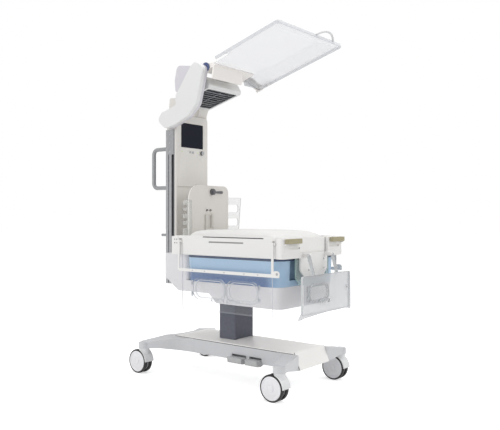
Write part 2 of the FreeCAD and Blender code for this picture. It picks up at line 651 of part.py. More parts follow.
def release_grip(side):
    """Squeeze grip on the foot corner: it swings out on a vertical pin at its outer end."""
    x0 = FOOT_BLOCK_X + 1
    low, high = GRIP_SPAN
    corners = [(x0, side * low, 4), (x0 + GRIP_T, side * (low + 4), 8),
               (x0 + GRIP_T - 2, side * (high - 4), 10), (x0 + 6, side * high, 4),
               (x0, side * (high - 11), 4)]
    body = plate(corners, "xy", GRIP_Z - GRIP_H / 2, GRIP_Z + GRIP_H / 2)
    finger = plate([(x0 - 1, side * (low + 18), 4), (x0 + 8, side * (low + 26), 6),
                    (x0 + 8, side * (high - 46), 6), (x0 - 1, side * (high - 38), 4)],
                   "xy", GRIP_Z - GRIP_H / 2 - 1, GRIP_Z + GRIP_H / 2 - 7)
    bore = rod((grip_axis()[0], side * grip_axis()[1], GRIP_Z - GRIP_H),
               (grip_axis()[0], side * grip_axis()[1], GRIP_Z + GRIP_H / 2 - 5), PIN_R + RUN)
    return cut(body, finger, bore)


def mattress_tray():
    """Deck pan that tips up from the foot end on two stub pins."""
    x = (POCKET_HEAD + 8, POCKET_FOOT - 6)
    y = (-POCKET_HALF + 4, POCKET_HALF - 4)
    body = plate(rect(x, y), "xy", TRAY_TOP - TRAY_SKIRT, TRAY_TOP, 22)
    room = plate(rect((x[0] + 5, x[1] - 5), (y[0] + 5, y[1] - 5)), "xy",
                 TRAY_TOP - TRAY_SKIRT - 1, TRAY_TOP - 5, 18)
    pins = [rod((TRAY_PIVOT[0], side * (POCKET_HALF - 12), TRAY_PIVOT[1]),
                (TRAY_PIVOT[0], side * (POCKET_HALF + 8), TRAY_PIVOT[1]), PIN_R) for side in (-1, 1)]
    return join(body.cut(room), *pins)


def mattress():
    """Foam mattress that thins towards its foot end."""
    x0 = POCKET_HEAD + 8 + MATTRESS_INSET
    x1 = POCKET_FOOT - 6 - MATTRESS_INSET - 8
    low = TRAY_TOP + SOFT_GAP
    side = [(x0, low), (x1, low), (x1, low + 26, 14), (x1 - 90, MATTRESS_TOP - 4, 120),
            (x0 + 40, MATTRESS_TOP, 60), (x0, MATTRESS_TOP - 8, 12)]
    body = plate(side, "xz", -MATTRESS_HALF, MATTRESS_HALF)
    plan = plate(rect((x0, x1), (-MATTRESS_HALF, MATTRESS_HALF)), "xy", low, MATTRESS_TOP, 40)
    return body.common(plan)


# Foot end

def foot_bracket():
    """Screwed carrier plate with cut lower corners and the two hinge ears of the foot door."""
    z0, z1 = BRACKET_Z
    corners = [(-BRACKET_HALF + 36, z0, 6), (BRACKET_HALF - 36, z0, 6), (BRACKET_HALF, z0 + 34, 6),
               (BRACKET_HALF, z1, 4), (-BRACKET_HALF, z1, 4), (-BRACKET_HALF, z0 + 34, 6)]
    body = plate(corners, "yz", BRACKET_X, BRACKET_X + BRACKET_T)
    x, z = FOOT_HINGE
    parts = [body]
    for side in (-1, 1):
        y = (side * (FOOT_ARM_Y[0] - 8), side * (FOOT_ARM_Y[0] - 0.5))
        ear = plate([(BRACKET_X + 5, z - 12), (x + 2, z - 9, 8), (x + 9, z, 8), (x + 2, z + 9, 8),
                     (BRACKET_X + 5, z + 12)], "xz", min(y), max(y))
        pin = rod((x, side * (FOOT_ARM_Y[0] - 8), z), (x, side * (FOOT_ARM_Y[1] + 3), z), PIN_R)
        parts += [ear, pin]
    back = box((BED_FOOT - 16, BRACKET_X), (-60, 60), (BED_BOTTOM + 2, BED_BOTTOM + 21))
    parts.append(back)
    body = join(*parts)
    strip = box((BRACKET_X + 1, BRACKET_X + BRACKET_T - 1), (-BRACKET_HALF + 44, BRACKET_HALF - 30),
                (z0 - 16, z0))
    return join(body, strip)


def foot_window():
    """Thick clear pane behind the foot bracket, which closes the recess of the blue tub."""
    z0, z1 = WINDOW_Z
    w = TUB_RECESS_HALF - 20
    corners = [(-w + 40, z0, 8), (w - 40, z0, 8), (w, z0 + 44, 8), (w, z1, 6), (-w, z1, 6), (-w, z0 + 44, 8)]
    pane = plate(corners, "yz", BRACKET_X - 9, BRACKET_X - 0.5)
    web = box((TUB_RECESS_X, BRACKET_X - 5), (-50, 50), (WINDOW_Z[1] - 70, WINDOW_Z[1] - 58))
    return join(pane, web)


def pane_ring(corners, plane, low, high, lip):
    """Raised rim that follows an outline, lip wide."""
    a = [c[0] for c in corners]
    b = [c[1] for c in corners]
    mid = ((min(a) + max(a)) / 2, (min(b) + max(b)) / 2)
    inner = [(c[0] + (lip if c[0] < mid[0] else -lip), c[1] + (lip if c[1] < mid[1] else -lip),
              max(1.0, c[2] - lip)) for c in corners]
    return plate(corners, plane, low, high).cut(plate(inner, plane, low - 1, high + 1))


def rounded(a, b, r):
    return [(p[0], p[1], r) for p in rect(a, b)]


def foot_door():
    """Clear foot panel that hangs from two arms, with a hand port and a tail at its lower left corner."""
    z0, z1 = FOOT_DOOR_Z
    x0, x1 = FOOT_DOOR_X, FOOT_DOOR_X + PANE_T
    y = FOOT_DOOR_HALF
    left = -y + 33
    corners = [(-y - FOOT_DOOR_TAIL, z0 - 12, 6), (left + 12, z0 - 1, 30), (0, z0 + 10, 300),
               (y - 60, z0 + 10, 30),
               (y + 6, z0, 12), (y, z1, 14), (left, z1, 14), (left, z0 + 40, 24)]
    panel = plate(corners, "yz", x0, x1)
    rim = pane_ring(rounded((left, y), (z0 + 11, z1), 14), "yz", x0 - 9, x0, 5)
    port = plate(foot_port_hole(), "yz", x0 - 1, x1 + 1)
    body = join(panel, rim).cut(port)
    hx, hz = FOOT_HINGE
    for side in (-1, 1):
        arm = [(hx - 9, hz + 4, 8), (hx + 6, hz + 9, 8), (x1 - 1, z1 + 10, 8), (x1, z1 - 26), (x0, z1 - 30),
               (x0 - 8, z1 + 4, 8)]
        y0, y1 = side * FOOT_ARM_Y[0], side * FOOT_ARM_Y[1]
        body = body.fuse(plate(arm, "xz", y0, y1))
        bore_y = (side * (FOOT_ARM_Y[0] - 2), side * (FOOT_ARM_Y[1] + 2))
        body = body.cut(rod((hx, bore_y[0], hz), (hx, bore_y[1], hz), PIN_R + RUN))
    knuckles = [foot_port_placed(k) for k in port_knuckles(FOOT_PORT_Z[1] - FOOT_PORT_Z[0])]
    return join(body, *knuckles)


def foot_port_hole():
    lip = PORT_LIP
    y = (FOOT_PORT_Y[0] + lip, FOOT_PORT_Y[1] - lip)
    z = (FOOT_PORT_Z[0] + lip, FOOT_PORT_Z[1] - lip)
    return rounded(y, z, 30)


def foot_port_placed(shape):
    """Put a port piece, drawn about its hinge, on the left end of the foot door's port."""
    shape = shape.copy()
    shape.rotate(V(0, 0, 0), V(0, 0, 1), 90)
    shape.translate(V(FOOT_DOOR_X + PANE_T + PORT_OUT, FOOT_PORT_Y[0] - PORT_EDGE, sum(FOOT_PORT_Z) / 2))
    return shape


def foot_port_door():
    width = FOOT_PORT_Y[1] - FOOT_PORT_Y[0]
    height = FOOT_PORT_Z[1] - FOOT_PORT_Z[0]
    return foot_port_placed(port_flap(width, height, 13.0))


# Side doors

def door_pane(side):
    """Clear side wall with a folded lip, two hand-port holes and the port hinges; drawn for the left side."""
    y0, y1 = -DOOR_Y, -DOOR_Y - PANE_T
    corners = [(DOOR_X[0], DOOR_Z[0], 14), (DOOR_X[1], DOOR_Z[0], 14), (DOOR_X[1], DOOR_Z[1], 6),
               (DOOR_X[0], DOOR_Z[1], 6)]
    panel = plate(corners, "xz", y0, y1)
    foot_lip = box((DOOR_X[0] + 14, DOOR_X[1] - 14), (-DOOR_Y, -DOOR_Y - PANE_T - 4),
                   (DOOR_Z[0], DOOR_Z[0] + 6))
    hole_z = (PORT_Z[0] + PORT_LIP, PORT_Z[1] - PORT_LIP)
    holes = [plate(rounded((x[0] + PORT_LIP, x[1] - PORT_LIP), hole_z, 42), "xz", y0 + 1, y1 - 1)
             for x in PORTS.values()]
    knuckles = []
    for port, span in PORTS.items():
        knuckles += [port_placed(k, port, span) for k in port_knuckles(PORT_Z[1] - PORT_Z[0])]
    return on_side(join(cut(join(panel, foot_lip), *holes), *knuckles), side)


def door_rail(side):
    """White hinge rail across the door, with its two arms up to the pivots."""
    y0 = -DOOR_Y - PANE_T
    y1 = y0 - RAIL_T
    z0, z1 = RAIL_Z
    strip = [(RAIL_X[0], z0, 4), (RAIL_X[1], z0, 6), (RAIL_X[1] + 2, z1 + 18, 16),
             (RAIL_X[1] - 34, z1 + 18, 10),
             (RAIL_X[1] - 46, z1, 12), (RAIL_X[0], z1, 4)]
    parts = [plate(strip, "xz", y0, y1)]
    for x in DOOR_ARM_X:
        w = DOOR_ARM_W / 2
        arm = [(x - w, z0 + 6), (x + w, z0 + 6), (x + w, DOOR_HINGE[1] + 2, 6), (x, DOOR_HINGE[1] + 9, 6),
               (x - w, DOOR_HINGE[1] + 2, 6)]
        parts.append(plate(arm, "xz", y0, y1))
        boss = rod((x - w, -DOOR_HINGE[0], DOOR_HINGE[1]), (x + w, -DOOR_HINGE[0], DOOR_HINGE[1]), 7)
        parts.append(boss)
    body = join(*parts)
    for x in DOOR_ARM_X:
        body = body.cut(rod((x - 20, -DOOR_HINGE[0], DOOR_HINGE[1]), (x + 20, -DOOR_HINGE[0], DOOR_HINGE[1]),
                            PIN_R + RUN))
    return on_side(body, side)


def hinge_places(height):
    return -0.26 * height, 0.26 * height


def port_knuckles(height):
    """Bored knuckles of a port hinge, drawn about its upright pin: X across the flap and -Y outward."""
    pieces = []
    half = KNUCKLE_W / 2
    for z in hinge_places(height):
        lug = box((-KNUCKLE_R, KNUCKLE_R - 1), (0, PORT_OUT), (z - half, z + half))
        knuckle = rod((0, 0, z - half), (0, 0, z + half), KNUCKLE_R)
        bore = rod((0, 0, z - half - 1), (0, 0, z + half + 1), PORT_PIN_R + RUN)
        pieces.append(join(lug, knuckle).cut(bore))
    return pieces


def port_flap(width, height, latch_reach):
    """Clear flap with a rolled rim, hinge tabs on two upright pins and a latch lever, drawn about the pin."""
    inner = PORT_OUT - AIR
    outer = inner - PORT_T
    far = PORT_EDGE + width
    corners = rounded((PORT_EDGE, far), (-height / 2, height / 2), 46)
    parts = [plate(corners, "xz", outer, inner), pane_ring(corners, "xz", outer - 3, outer, 4)]
    near = KNUCKLE_W / 2 + AIR
    for z in hinge_places(height):
        for z0, z1 in ((z - near - 7, z - near), (z + near, z + near + 7)):
            parts.append(box((0, PORT_EDGE + 20), (outer, inner), (z0, z1)))
            parts.append(rod((0, 0, z0), (0, 0, z1), KNUCKLE_R - 0.5))
        parts.append(rod((0, 0, z - near - 7), (0, 0, z + near + 7), PORT_PIN_R))
    low = -height / 2
    latch = [(far - 8 - LATCH[0], low - 4, 5), (far - 8, low - 8, 7), (far - 8, low + LATCH[1], 7),
             (far - 8 - LATCH[0], low + 10, 5)]
    parts.append(plate(latch, "xz", outer - latch_reach, outer - 2))
    parts.append(box((far - 44, far - 30), (outer - 4, outer + 1), (low + 4, low + 12)))
    return join(*parts)


def port_placed(shape, port, span):
    """Put a port piece, drawn about its hinge, at the outer end of a port of the left door."""
    shape = shape.copy()
    hinge_x = span[0] - PORT_EDGE
    if port == "foot":
        shape = shape.mirror(V(0, 0, 0), V(1, 0, 0))
        hinge_x = span[1] + PORT_EDGE
    shape.translate(V(hinge_x, -DOOR_Y - PANE_T - PORT_OUT, sum(PORT_Z) / 2))
    return shape


def port_door(side, port):
    """Hand-port flap of a side door; it swings out from its outer end."""
    span = PORTS[port]
    flap = port_flap(span[1] - span[0], PORT_Z[1] - PORT_Z[0], 11.0)
    return on_side(port_placed(flap, port, span), side)


def door_pivots():
    """Pins in the hinge slots of the bed frame that the door arms turn on."""
    pieces = []
    for side in (-1, 1):
        for x in DOOR_ARM_X:
            w = DOOR_ARM_W / 2
            y, z = side * DOOR_HINGE[0], DOOR_HINGE[1]
            pin = rod((x - w - 5.5, y, z), (x + w + 5.5, y, z), PIN_R)
            cheeks = []
            for way in (-1, 1):
                edge = (x + way * (w + 1), x + way * (w + 5.5))
                corners = [(side * (BED_HALF - 12), z - 9), (y, z - 7, 5), (y + side * 6, z, 4),
                           (y, z + 7, 5),
                           (side * (BED_HALF - 12), z + 9)]
                cheeks.append(plate(corners, "yz", edge[0], edge[1]))
            pieces.append(join(pin, *cheeks))
    return pieces


# Mast

def mast_rails():
    """Two grooved aluminium uprights, and the screwed side plates near their tops."""
    pieces = []
    for side in (-1, 1):
        y0, y1 = MAST_HALF - 2 - RAIL_W, MAST_HALF - 2
        g0, g1 = RAIL_GROOVE
        corners = [(MAST_REAR, y0), (MAST_FRONT - MAST_SKIN, y0), (MAST_FRONT - MAST_SKIN, y1),
                   (g1, y1), (g1, y1 - 4), (g1 + 4, y1 - 4), (g1 + 4, y1 - 14), (g0 - 4, y1 - 14),
                   (g0 - 4, y1 - 4), (g0, y1 - 4), (g0, y1), (RAIL_SLOT[1], y1), (RAIL_SLOT[1], y1 - 5),
                  (RAIL_SLOT[0], y1 - 5), (RAIL_SLOT[0], y1), (MAST_REAR, y1)]
        shaped = [(x, side * y) for x, y in corners]
        rail = plate(shaped, "xy", MAST_BOTTOM + 9, RAIL_TOP)
        pieces.append(rail)
        pieces.append(plate(rect(SIDE_PLATE, sorted((side * y1, side * (y1 + 2)))), "xy",
                            SIDE_PLATE_Z, RAIL_TOP, 0.9))
    return pieces


def mast_front_cover():
    """Long moulded front cover with bevelled edges, a set-back lower field and the screen pocket."""
    body = plate([(-MAST_HALF, MAST_BOTTOM, 8), (MAST_HALF, MAST_BOTTOM, 8), (MAST_HALF, MAST_TOP, 26),
                  (-MAST_HALF, MAST_TOP, 26)], "yz", MAST_FRONT - MAST_SKIN, MAST_FRONT)
    front_edges = [e for e in body.Edges if all(abs(v.X - MAST_FRONT) < 0.01 for v in e.Vertexes)]
    body = body.makeChamfer(5, front_edges)
    field = plate(rect((-MAST_HALF + 12, MAST_HALF - 12), (MAST_BOTTOM + 20, STEP_Z)), "yz",
                  MAST_FRONT - STEP_DEPTH, MAST_FRONT + 1, 6)
    screen = plate(rect((SCREEN_Y[0] - GAP, SCREEN_Y[1] + GAP), (SCREEN_Z[0] - GAP, SCREEN_Z[1] + GAP)), "yz",
                   MAST_FRONT - 6, MAST_FRONT + 1, 3)
    tools = [field, screen]
    tools.append(rod((MAST_FRONT - MAST_SKIN - 1, KNOB_Y, CONTROLS_Z),
                     (MAST_FRONT + 1, KNOB_Y, CONTROLS_Z), 3 + RUN))
    for y in KEY_Y.values():
        a = (y - KEY_SIZE[0] / 2 - GAP, y + KEY_SIZE[0] / 2 + GAP)
        b = (CONTROLS_Z - KEY_SIZE[1] / 2 - GAP, CONTROLS_Z + KEY_SIZE[1] / 2 + GAP)
        tools.append(plate(rect(a, b), "yz", MAST_FRONT - MAST_SKIN - 1, MAST_FRONT + 1, 2))
    return cut(body, *tools)


def mast_rear_cover():
    """Rear skin between the uprights, with vent slots and a flange behind each rail."""
    y = MAST_HALF - 2 - RAIL_W
    body = box((MAST_REAR, MAST_REAR + 4), (-y, y), (MAST_BOTTOM + 9, RAIL_TOP))
    bottom = box((MAST_REAR + 4, MAST_FRONT - MAST_SKIN), (-y, y), (MAST_BOTTOM + 9, MAST_BOTTOM + 15))
    vents = [plate(rounded((-60, 60), (z, z + 7), 3), "yz", MAST_REAR - 1, MAST_REAR + 5)
             for z in range(1280, 1400, 16)]
    return cut(join(body, bottom), *vents)


def display_screen():
    """Glass of the control display, flush in its pocket."""
    return plate(rect(SCREEN_Y, SCREEN_Z), "yz", MAST_FRONT - 6, MAST_FRONT - 0.5, 3)


def control_knob():
    """Rotary knob with a dished face and a shaft through the cover."""
    body = rod((MAST_FRONT + 0.6, KNOB_Y, CONTROLS_Z), (MAST_FRONT + 13, KNOB_Y, CONTROLS_Z), KNOB_R)
    body = body.makeChamfer(1.5, [e for e in body.Edges if e.BoundBox.XMin > MAST_FRONT + 12])
    shaft = rod((MAST_FRONT - MAST_SKIN - 6, KNOB_Y, CONTROLS_Z), (MAST_FRONT + 5, KNOB_Y, CONTROLS_Z), 3)
    return join(body, shaft)


def control_key(y):
    """Push key with a stem flange behind the cover."""
    a = (y - KEY_SIZE[0] / 2, y + KEY_SIZE[0] / 2)
    b = (CONTROLS_Z - KEY_SIZE[1] / 2, CONTROLS_Z + KEY_SIZE[1] / 2)
    return plate(rect(a, b), "yz", MAST_FRONT - MAST_SKIN - 3, MAST_FRONT + 2.5, 1.6)


def bent_bar(places, bend, r):
    """Round bar through the places, with a bend of the given radius at each inner one."""
    parts = []
    start = V(*places[0])
    for i in range(1, len(places) - 1):
        corner = V(*places[i])
        into = (corner - V(*places[i - 1])).normalize()
        out = (V(*places[i + 1]) - corner).normalize()
        end = corner - into * bend
        parts.append(rod(start, end, r))
        disc = Part.Face(Part.Wire(Part.Circle(end, into, r).toShape()))
        parts.append(disc.revolve(end + out * bend, into.cross(out), 90))
        start = corner + out * bend
    parts.append(rod(start, V(*places[-1]), r))
    return join(*parts)


def push_handle(side):
    """Bent tube handle behind an upright, with a round foot at each end."""
    y = side * HANDLE_Y
    x0, x1 = MAST_REAR, MAST_REAR - HANDLE_REACH
    z0, z1 = HANDLE_Z
    bar = bent_bar([(x0, y, z0), (x1, y, z0), (x1, y, z1), (x0, y, z1)], HANDLE_BEND, HANDLE_R)
    feet = [rod((x0, y, z), (x0 - 8, y, z), HANDLE_R + 2.5) for z in (z0, z1)]
    return join(bar, *feet)


def hook_peg(side):
    """Short hanger peg with a collar against the back of an upright."""
    y = side * HANDLE_Y
    peg = rod((MAST_REAR, y, PEG_Z), (MAST_REAR - PEG_LEN, y, PEG_Z), PEG_R)
    collar = rod((MAST_REAR, y, PEG_Z), (MAST_REAR - PEG_COLLAR, y, PEG_Z), PEG_R + 4)
    return join(peg, collar)


# Head plate

def head_plate():
    """Translucent head panel that stands in the head end of the bed frame."""
    corners = [(-PLATE_HALF, BED_TOP, 3), (PLATE_HALF, BED_TOP, 3),
               (PLATE_HALF, PLATE_TOP, PLATE_ROUND_RIGHT), (-PLATE_HALF, PLATE_TOP, PLATE_ROUND_LEFT)]
    body = plate(corners, "yz", PLATE_X, PLATE_X + PLATE_T)
    foot = box((PLATE_X - 6, PLATE_X + PLATE_T + 6), (-PLATE_HALF + 24, PLATE_HALF - 24),
               (BED_TOP, BED_TOP + 10))
    return join(body, foot)


def tubing_guides():
    """Clear side pieces of the head end: a tall wing with two tube notches, and a slotted comb."""
    x0, x1 = PLATE_X, PLATE_X + GUIDE_T
    near = PLATE_HALF + GAP
    wing = plate([(near, BED_TOP, 4), (BED_HALF - 7, BED_TOP, 4), (BED_HALF + 18, WING_TOP, 10),
                  (near, WING_TOP, 4)],
                 "yz", x0, x1)
    reach = BED_HALF - 13
    notches = []
    for low, high in TUBE_NOTCHES:
        notches.append(plate([(near - 2, BED_TOP + low), (reach, BED_TOP + low, 18),
                              (reach, BED_TOP + high, 18), (near - 2, BED_TOP + high)], "yz", x0 - 1, x1 + 1))
    x0 = PLATE_X + PLATE_T + GAP
    outer, inner = -PLATE_HALF - 56, -PLATE_HALF + 22
    comb = plate([(outer, BED_TOP, 4), (inner, BED_TOP, 4), (inner - 2, COMB_TOP, 14),
                  (outer + 4, COMB_TOP, 22)],
                 "yz", x0, x0 + GUIDE_T)
    slots = [plate([(outer - 6, BED_TOP + z), (outer + 38, BED_TOP + z, 9), (outer + 38, BED_TOP + z + 20, 9),
                    (outer - 6, BED_TOP + z + 20)], "yz", x0 - 1, x0 + GUIDE_T + 1) for z in COMB_SLOTS]
    return [cut(wing, *notches), cut(comb, *slots)]


def probe_holder():
    """Round cable grommet with its oval keeper, two small grommets and a slotted clip."""
    x = PLATE_X + PLATE_T
    y, z = GROMMET
    ring = rod((x, y, z), (x + 16, y, z), 20)
    ring = join(ring, rod((x + 10, y, z), (x + 22, y, z), 11))
    end = y + KEEPER_END
    keeper = plate([(y + 14, z - 6, 5), (end, z - 11, 9), (end, z + 8, 9), (y + 14, z + 3, 5)], "yz", x, x + 7)
    drop = z - SMALL_GROMMET_DROP
    small = [rod((x, y + across, drop), (x + 6, y + across, drop), 7.5) for across in (-49, -17)]
    low, high = CLIP_Z
    clip = plate(rounded((-41, 37), (low, high), 8), "yz", x, x + 9)
    clip = clip.cut(plate(rounded((-18, 6), (low + 16, high - 8), 5), "yz", x + 3, x + 10))
    finger = plate([(13, low + 20, 4), (29, low + 20, 4), (29, high + 4, 6), (13, high + 4, 6)], "yz",
                   x + 8, x + 15)
    return [join(ring, keeper)] + small + [join(clip, finger)]


# Heater

def heater_posts():
    """Mast head casting with the arm shaft bore, a cheek on its right, and the two posts of the heater."""
    x = (MAST_REAR + 8, MAST_FRONT - MAST_SKIN)
    half = MAST_HALF - 4
    block = box(x, (-half, half), (RAIL_TOP, MAST_TOP - 6))
    cheek = plate(rect(CHEEK_X, (RAIL_TOP + AIR, HEATER_REAR[1] - 8)), "xz", half - 4, MAST_HALF + 6, 3)
    parts = [block, cheek]
    behind = MAST_FRONT - MAST_SKIN - GAP
    for side in (-1, 1):
        y = sorted((side * POST_HALF[0], side * POST_HALF[1]))
        post = [(MAST_REAR + 22, MAST_TOP - 8), (behind, MAST_TOP - 8), (behind, MAST_TOP + 2),
                (HEATER_REAR[0] + 6, HEATER_REAR[1] + 4), (HEATER_REAR[0] - 4, HEATER_REAR[1] + 44),
                (MAST_REAR + 34, HEATER_REAR[1] + 48, 10)]
        parts.append(plate(post, "xz", y[0], y[1]))
    body = join(*parts)
    shaft_x, shaft_z = ARM_PIVOT
    shaft = rod((shaft_x, -half - 1, shaft_z), (shaft_x, -half + 71, shaft_z), ARM_SHAFT_R + RUN)
    return body.cut(shaft).cut(heater_frame(0.0, GAP))


def heater_frame(inset, grow=0.0):
    """Heater head in its own slope: a wedge with a deep front face."""
    length = HEATER_LEN
    side = [(0 - grow, 0 - grow), (length - inset, 0, 8), (length + 12 - inset, 16, 8),
            (length - 8 - inset, 82 - inset, 14), (40, 74 - inset, 30), (0 - grow, 40)]
    body = plate(side, "xz", -HEATER_HALF + inset, HEATER_HALF - inset)
    return heater_placed(body)


def heater_placed(shape):
    """Set a shape drawn from the rear lower edge of the heater at the heater's tilt and place."""
    shape = shape.copy()
    shape.rotate(V(0, 0, 0), V(0, 1, 0), -HEATER_TILT)
    shape.translate(V(HEATER_REAR[0], 0, HEATER_REAR[1]))
    return shape


def heater_window():
    return (22.0, HEATER_LEN - 14), (-HEATER_HALF + 16, HEATER_HALF - 16)


def heater_housing():
    """Hood of the radiant heater, open below, with a slot in its front face."""
    x, y = heater_window()
    room = heater_placed(plate(rect(x, y), "xy", -1, HEATER_ROOM, 12))
    slot = heater_placed(box((HEATER_LEN - 12, HEATER_LEN + 30), HEATER_SLOT_Y, HEATER_SLOT_Z))
    return cut(heater_frame(0.0), room, slot)


def heater_grille():
    """Guard grille: a frame and slats across the mouth of the heater."""
    x, y = heater_window()
    frame = plate(rect((x[0] + 0.5, x[1] - 0.5), (y[0] + 0.5, y[1] - 0.5)), "xy", 2, 8, 11)
    tools = []
    pitch = (x[1] - x[0] - 16) / GRILLE_BARS
    for i in range(GRILLE_BARS):
        start = x[0] + 8 + i * pitch
        for way in (-1, 1):
            tools.append(box((start + 4, start + pitch - 3), (way * 4, way * (y[1] - 8)), (0, 10)))
    return heater_placed(cut(frame, *tools))


def heater_elements():
    """Quartz heater tubes and the reflector above them."""
    x, y = heater_window()
    reflector = plate(rect((x[0] + 4, x[1] - 4), (y[0] + 4, y[1] - 4)), "xy",
                      HEATER_ROOM - 4, HEATER_ROOM, 10)
    pieces = [reflector]
    for t in (0.3, 0.5, 0.7):
        px = x[0] + t * (x[1] - x[0])
        pieces.append(rod((px, y[0], 28), (px, y[1], 28), 7))
    return [heater_placed(p) for p in pieces]


# Arm

def arm_outline():
    """Boomerang side view of the lift arm, from the pivot end round the elbow to the canopy hinge."""
    px, pz = ARM_PIVOT
    hx, hz = HINGE
    return [(px - 46, pz + 10, 34), (px - 8, pz + 56, 34), (px + 126, pz + 92, 30), (px + 116, pz + 154, 30),
            (px + 152, pz + 194, 60), (hx - 88, hz + 14, 30), (hx - 46, hz + 38, 30), (hx + 22, hz - 4, 34),
            (hx - 36, hz - 224, 60), (px + 222, pz + 12, 60), (px + 116, pz - 30, 80), (px + 24, pz - 48, 40)]


def arm_cover():
    """White outer moulding of the lift arm."""
    body = plate(arm_outline(), "xz", ARM_OUTER, ARM_SPLIT)
    outer = [e for e in body.Edges if all(abs(v.Y - ARM_OUTER) < 0.01 for v in e.Vertexes)]
    return body.makeChamfer(4, outer)


def arm_inner_plate():
    """Inner half of the arm with its rear shoulder and the main shaft."""
    hx, hz = HINGE
    body = plate(arm_outline(), "xz", ARM_SPLIT, ARM_INNER + 6)
    shoulder = [(hx + along, hz + up, r) for along, up, r in SHOULDER]
    back = plate(shoulder, "xz", ARM_INNER, ARM_INNER + 8)
    px, pz = ARM_PIVOT
    shaft = rod((px, ARM_SPLIT + 8, pz), (px, -MAST_HALF + 70, pz), ARM_SHAFT_R)
    collar = rod((px, ARM_INNER, pz), (px, -MAST_HALF - 1.5, pz), 32)
    pin = rod((hx, ARM_SPLIT + 8, hz), (hx, NECK_PIN_END, hz), NECK_PIN_R)
    return join(body, back, shaft, collar, pin)


# Canopy, drawn level about its hinge and then tipped up

def canopy_placed(shape):
    shape = shape.copy()
    shape.rotate(V(0, 0, 0), V(0, 1, 0), -CANOPY_TILT)
    shape.translate(V(HINGE[0], 0, HINGE[1]))
    return shape


def canopy_skin(inset, low, high):
    rim = ((CANOPY_HEAD + inset, CANOPY_FOOT - inset), (-CANOPY_HALF + inset, CANOPY_HALF - inset), 26)
    roof = ((CANOPY_HEAD + inset, CANOPY_FOOT - 96), (-ROOF_HALF + inset / 2, ROOF_HALF - inset / 2), 22)
    return frustum(rim, roof, low, high)


def canopy_shell():
    """Clear hood with sloping sides and a thick rim, notched for the heater and for the arm."""
    skin = canopy_skin(0, RIM_Z, ROOF_Z).cut(canopy_skin(CANOPY_T, RIM_Z - 0.01, ROOF_Z - CANOPY_T))
    x = (CANOPY_HEAD, CANOPY_FOOT)
    y = (-CANOPY_HALF, CANOPY_HALF)
    rim = plate(rect(x, y), "xy", RIM_Z - RIM_H, RIM_Z + 1, 26)
    inner = (x[0] - 40, x[1] - 6), (y[0] + 6, y[1] - 6)
    rim = rim.cut(plate(rect(*inner), "xy", RIM_Z - RIM_H - 1, RIM_Z + 2, 22))
    body = join(skin, rim)
    heater_notch = box((CANOPY_HEAD - 60, NECK_X[0]), (-NECK_HALF - 2, NECK_HALF + 2), (-100, 60))
    neck_seat = box((NECK_X[0], NECK_X[1]), (-NECK_HALF - 2, NECK_HALF + 2), (ROOF_Z - 60, ROOF_Z + 20))
    arm_notch = box((CANOPY_HEAD - 60, NOTCH_FOOT), (-CANOPY_HALF - 20, -NECK_HALF - 2), (-100, 60))
    return canopy_placed(cut(body, heater_notch, neck_seat, arm_notch))


def canopy_neck():
    """White yoke across the head end of the canopy, turning on the arm's pin."""
    x0, x1 = NECK_X
    side = [(x0, -22, 14), (x1 - 4, -16, 4), (x1, ROOF_Z - CANOPY_T), (x1, ROOF_Z + 6, 4),
            (x0 + 44, 20, 22), (x0, 18, 18)]
    body = plate(side, "xz", NECK_LEFT, NECK_HALF + 1.5)
    foot_x, foot_z = APRON_BOTTOM
    apron = plate([(x1 - 14, 4), (x1, 4), (foot_x + 8, foot_z, 3), (foot_x - 4, foot_z + 2, 3)],
                  "xz", NECK_LEFT, APRON_RIGHT)
    body = body.fuse(apron)
    leg = plate([(NECK_HALF + 1, -22), (NECK_HALF + 1, 16, 8), (ROOF_HALF, ROOF_Z + 5, 10),
                 (CANOPY_HALF + 2, RIM_Z + 4, 6), (CANOPY_HALF + 2, RIM_Z - RIM_H - 6, 4),
                 (CANOPY_HALF - 8, RIM_Z - RIM_H - 6, 4), (CANOPY_HALF - 16, RIM_Z - 6, 10),
                 (ROOF_HALF - 4, ROOF_Z - 10, 10)], "yz", CANOPY_HEAD - 10, NECK_X[0] + 60)
    leg = leg.cut(canopy_skin(0, RIM_Z, ROOF_Z)).cut(
        plate(rect((CANOPY_HEAD, CANOPY_FOOT), (-CANOPY_HALF, CANOPY_HALF)), "xy",
              RIM_Z - RIM_H, RIM_Z + 1, 26))
    bore = rod((0, NECK_LEFT - 1, 0), (0, NECK_PIN_END + 2, 0), NECK_PIN_R + RUN)
    body = body.cut(bore)
    solids = sorted(leg.Solids, key=lambda s: s.Volume)
    return canopy_placed(join(body, solids[-1]))


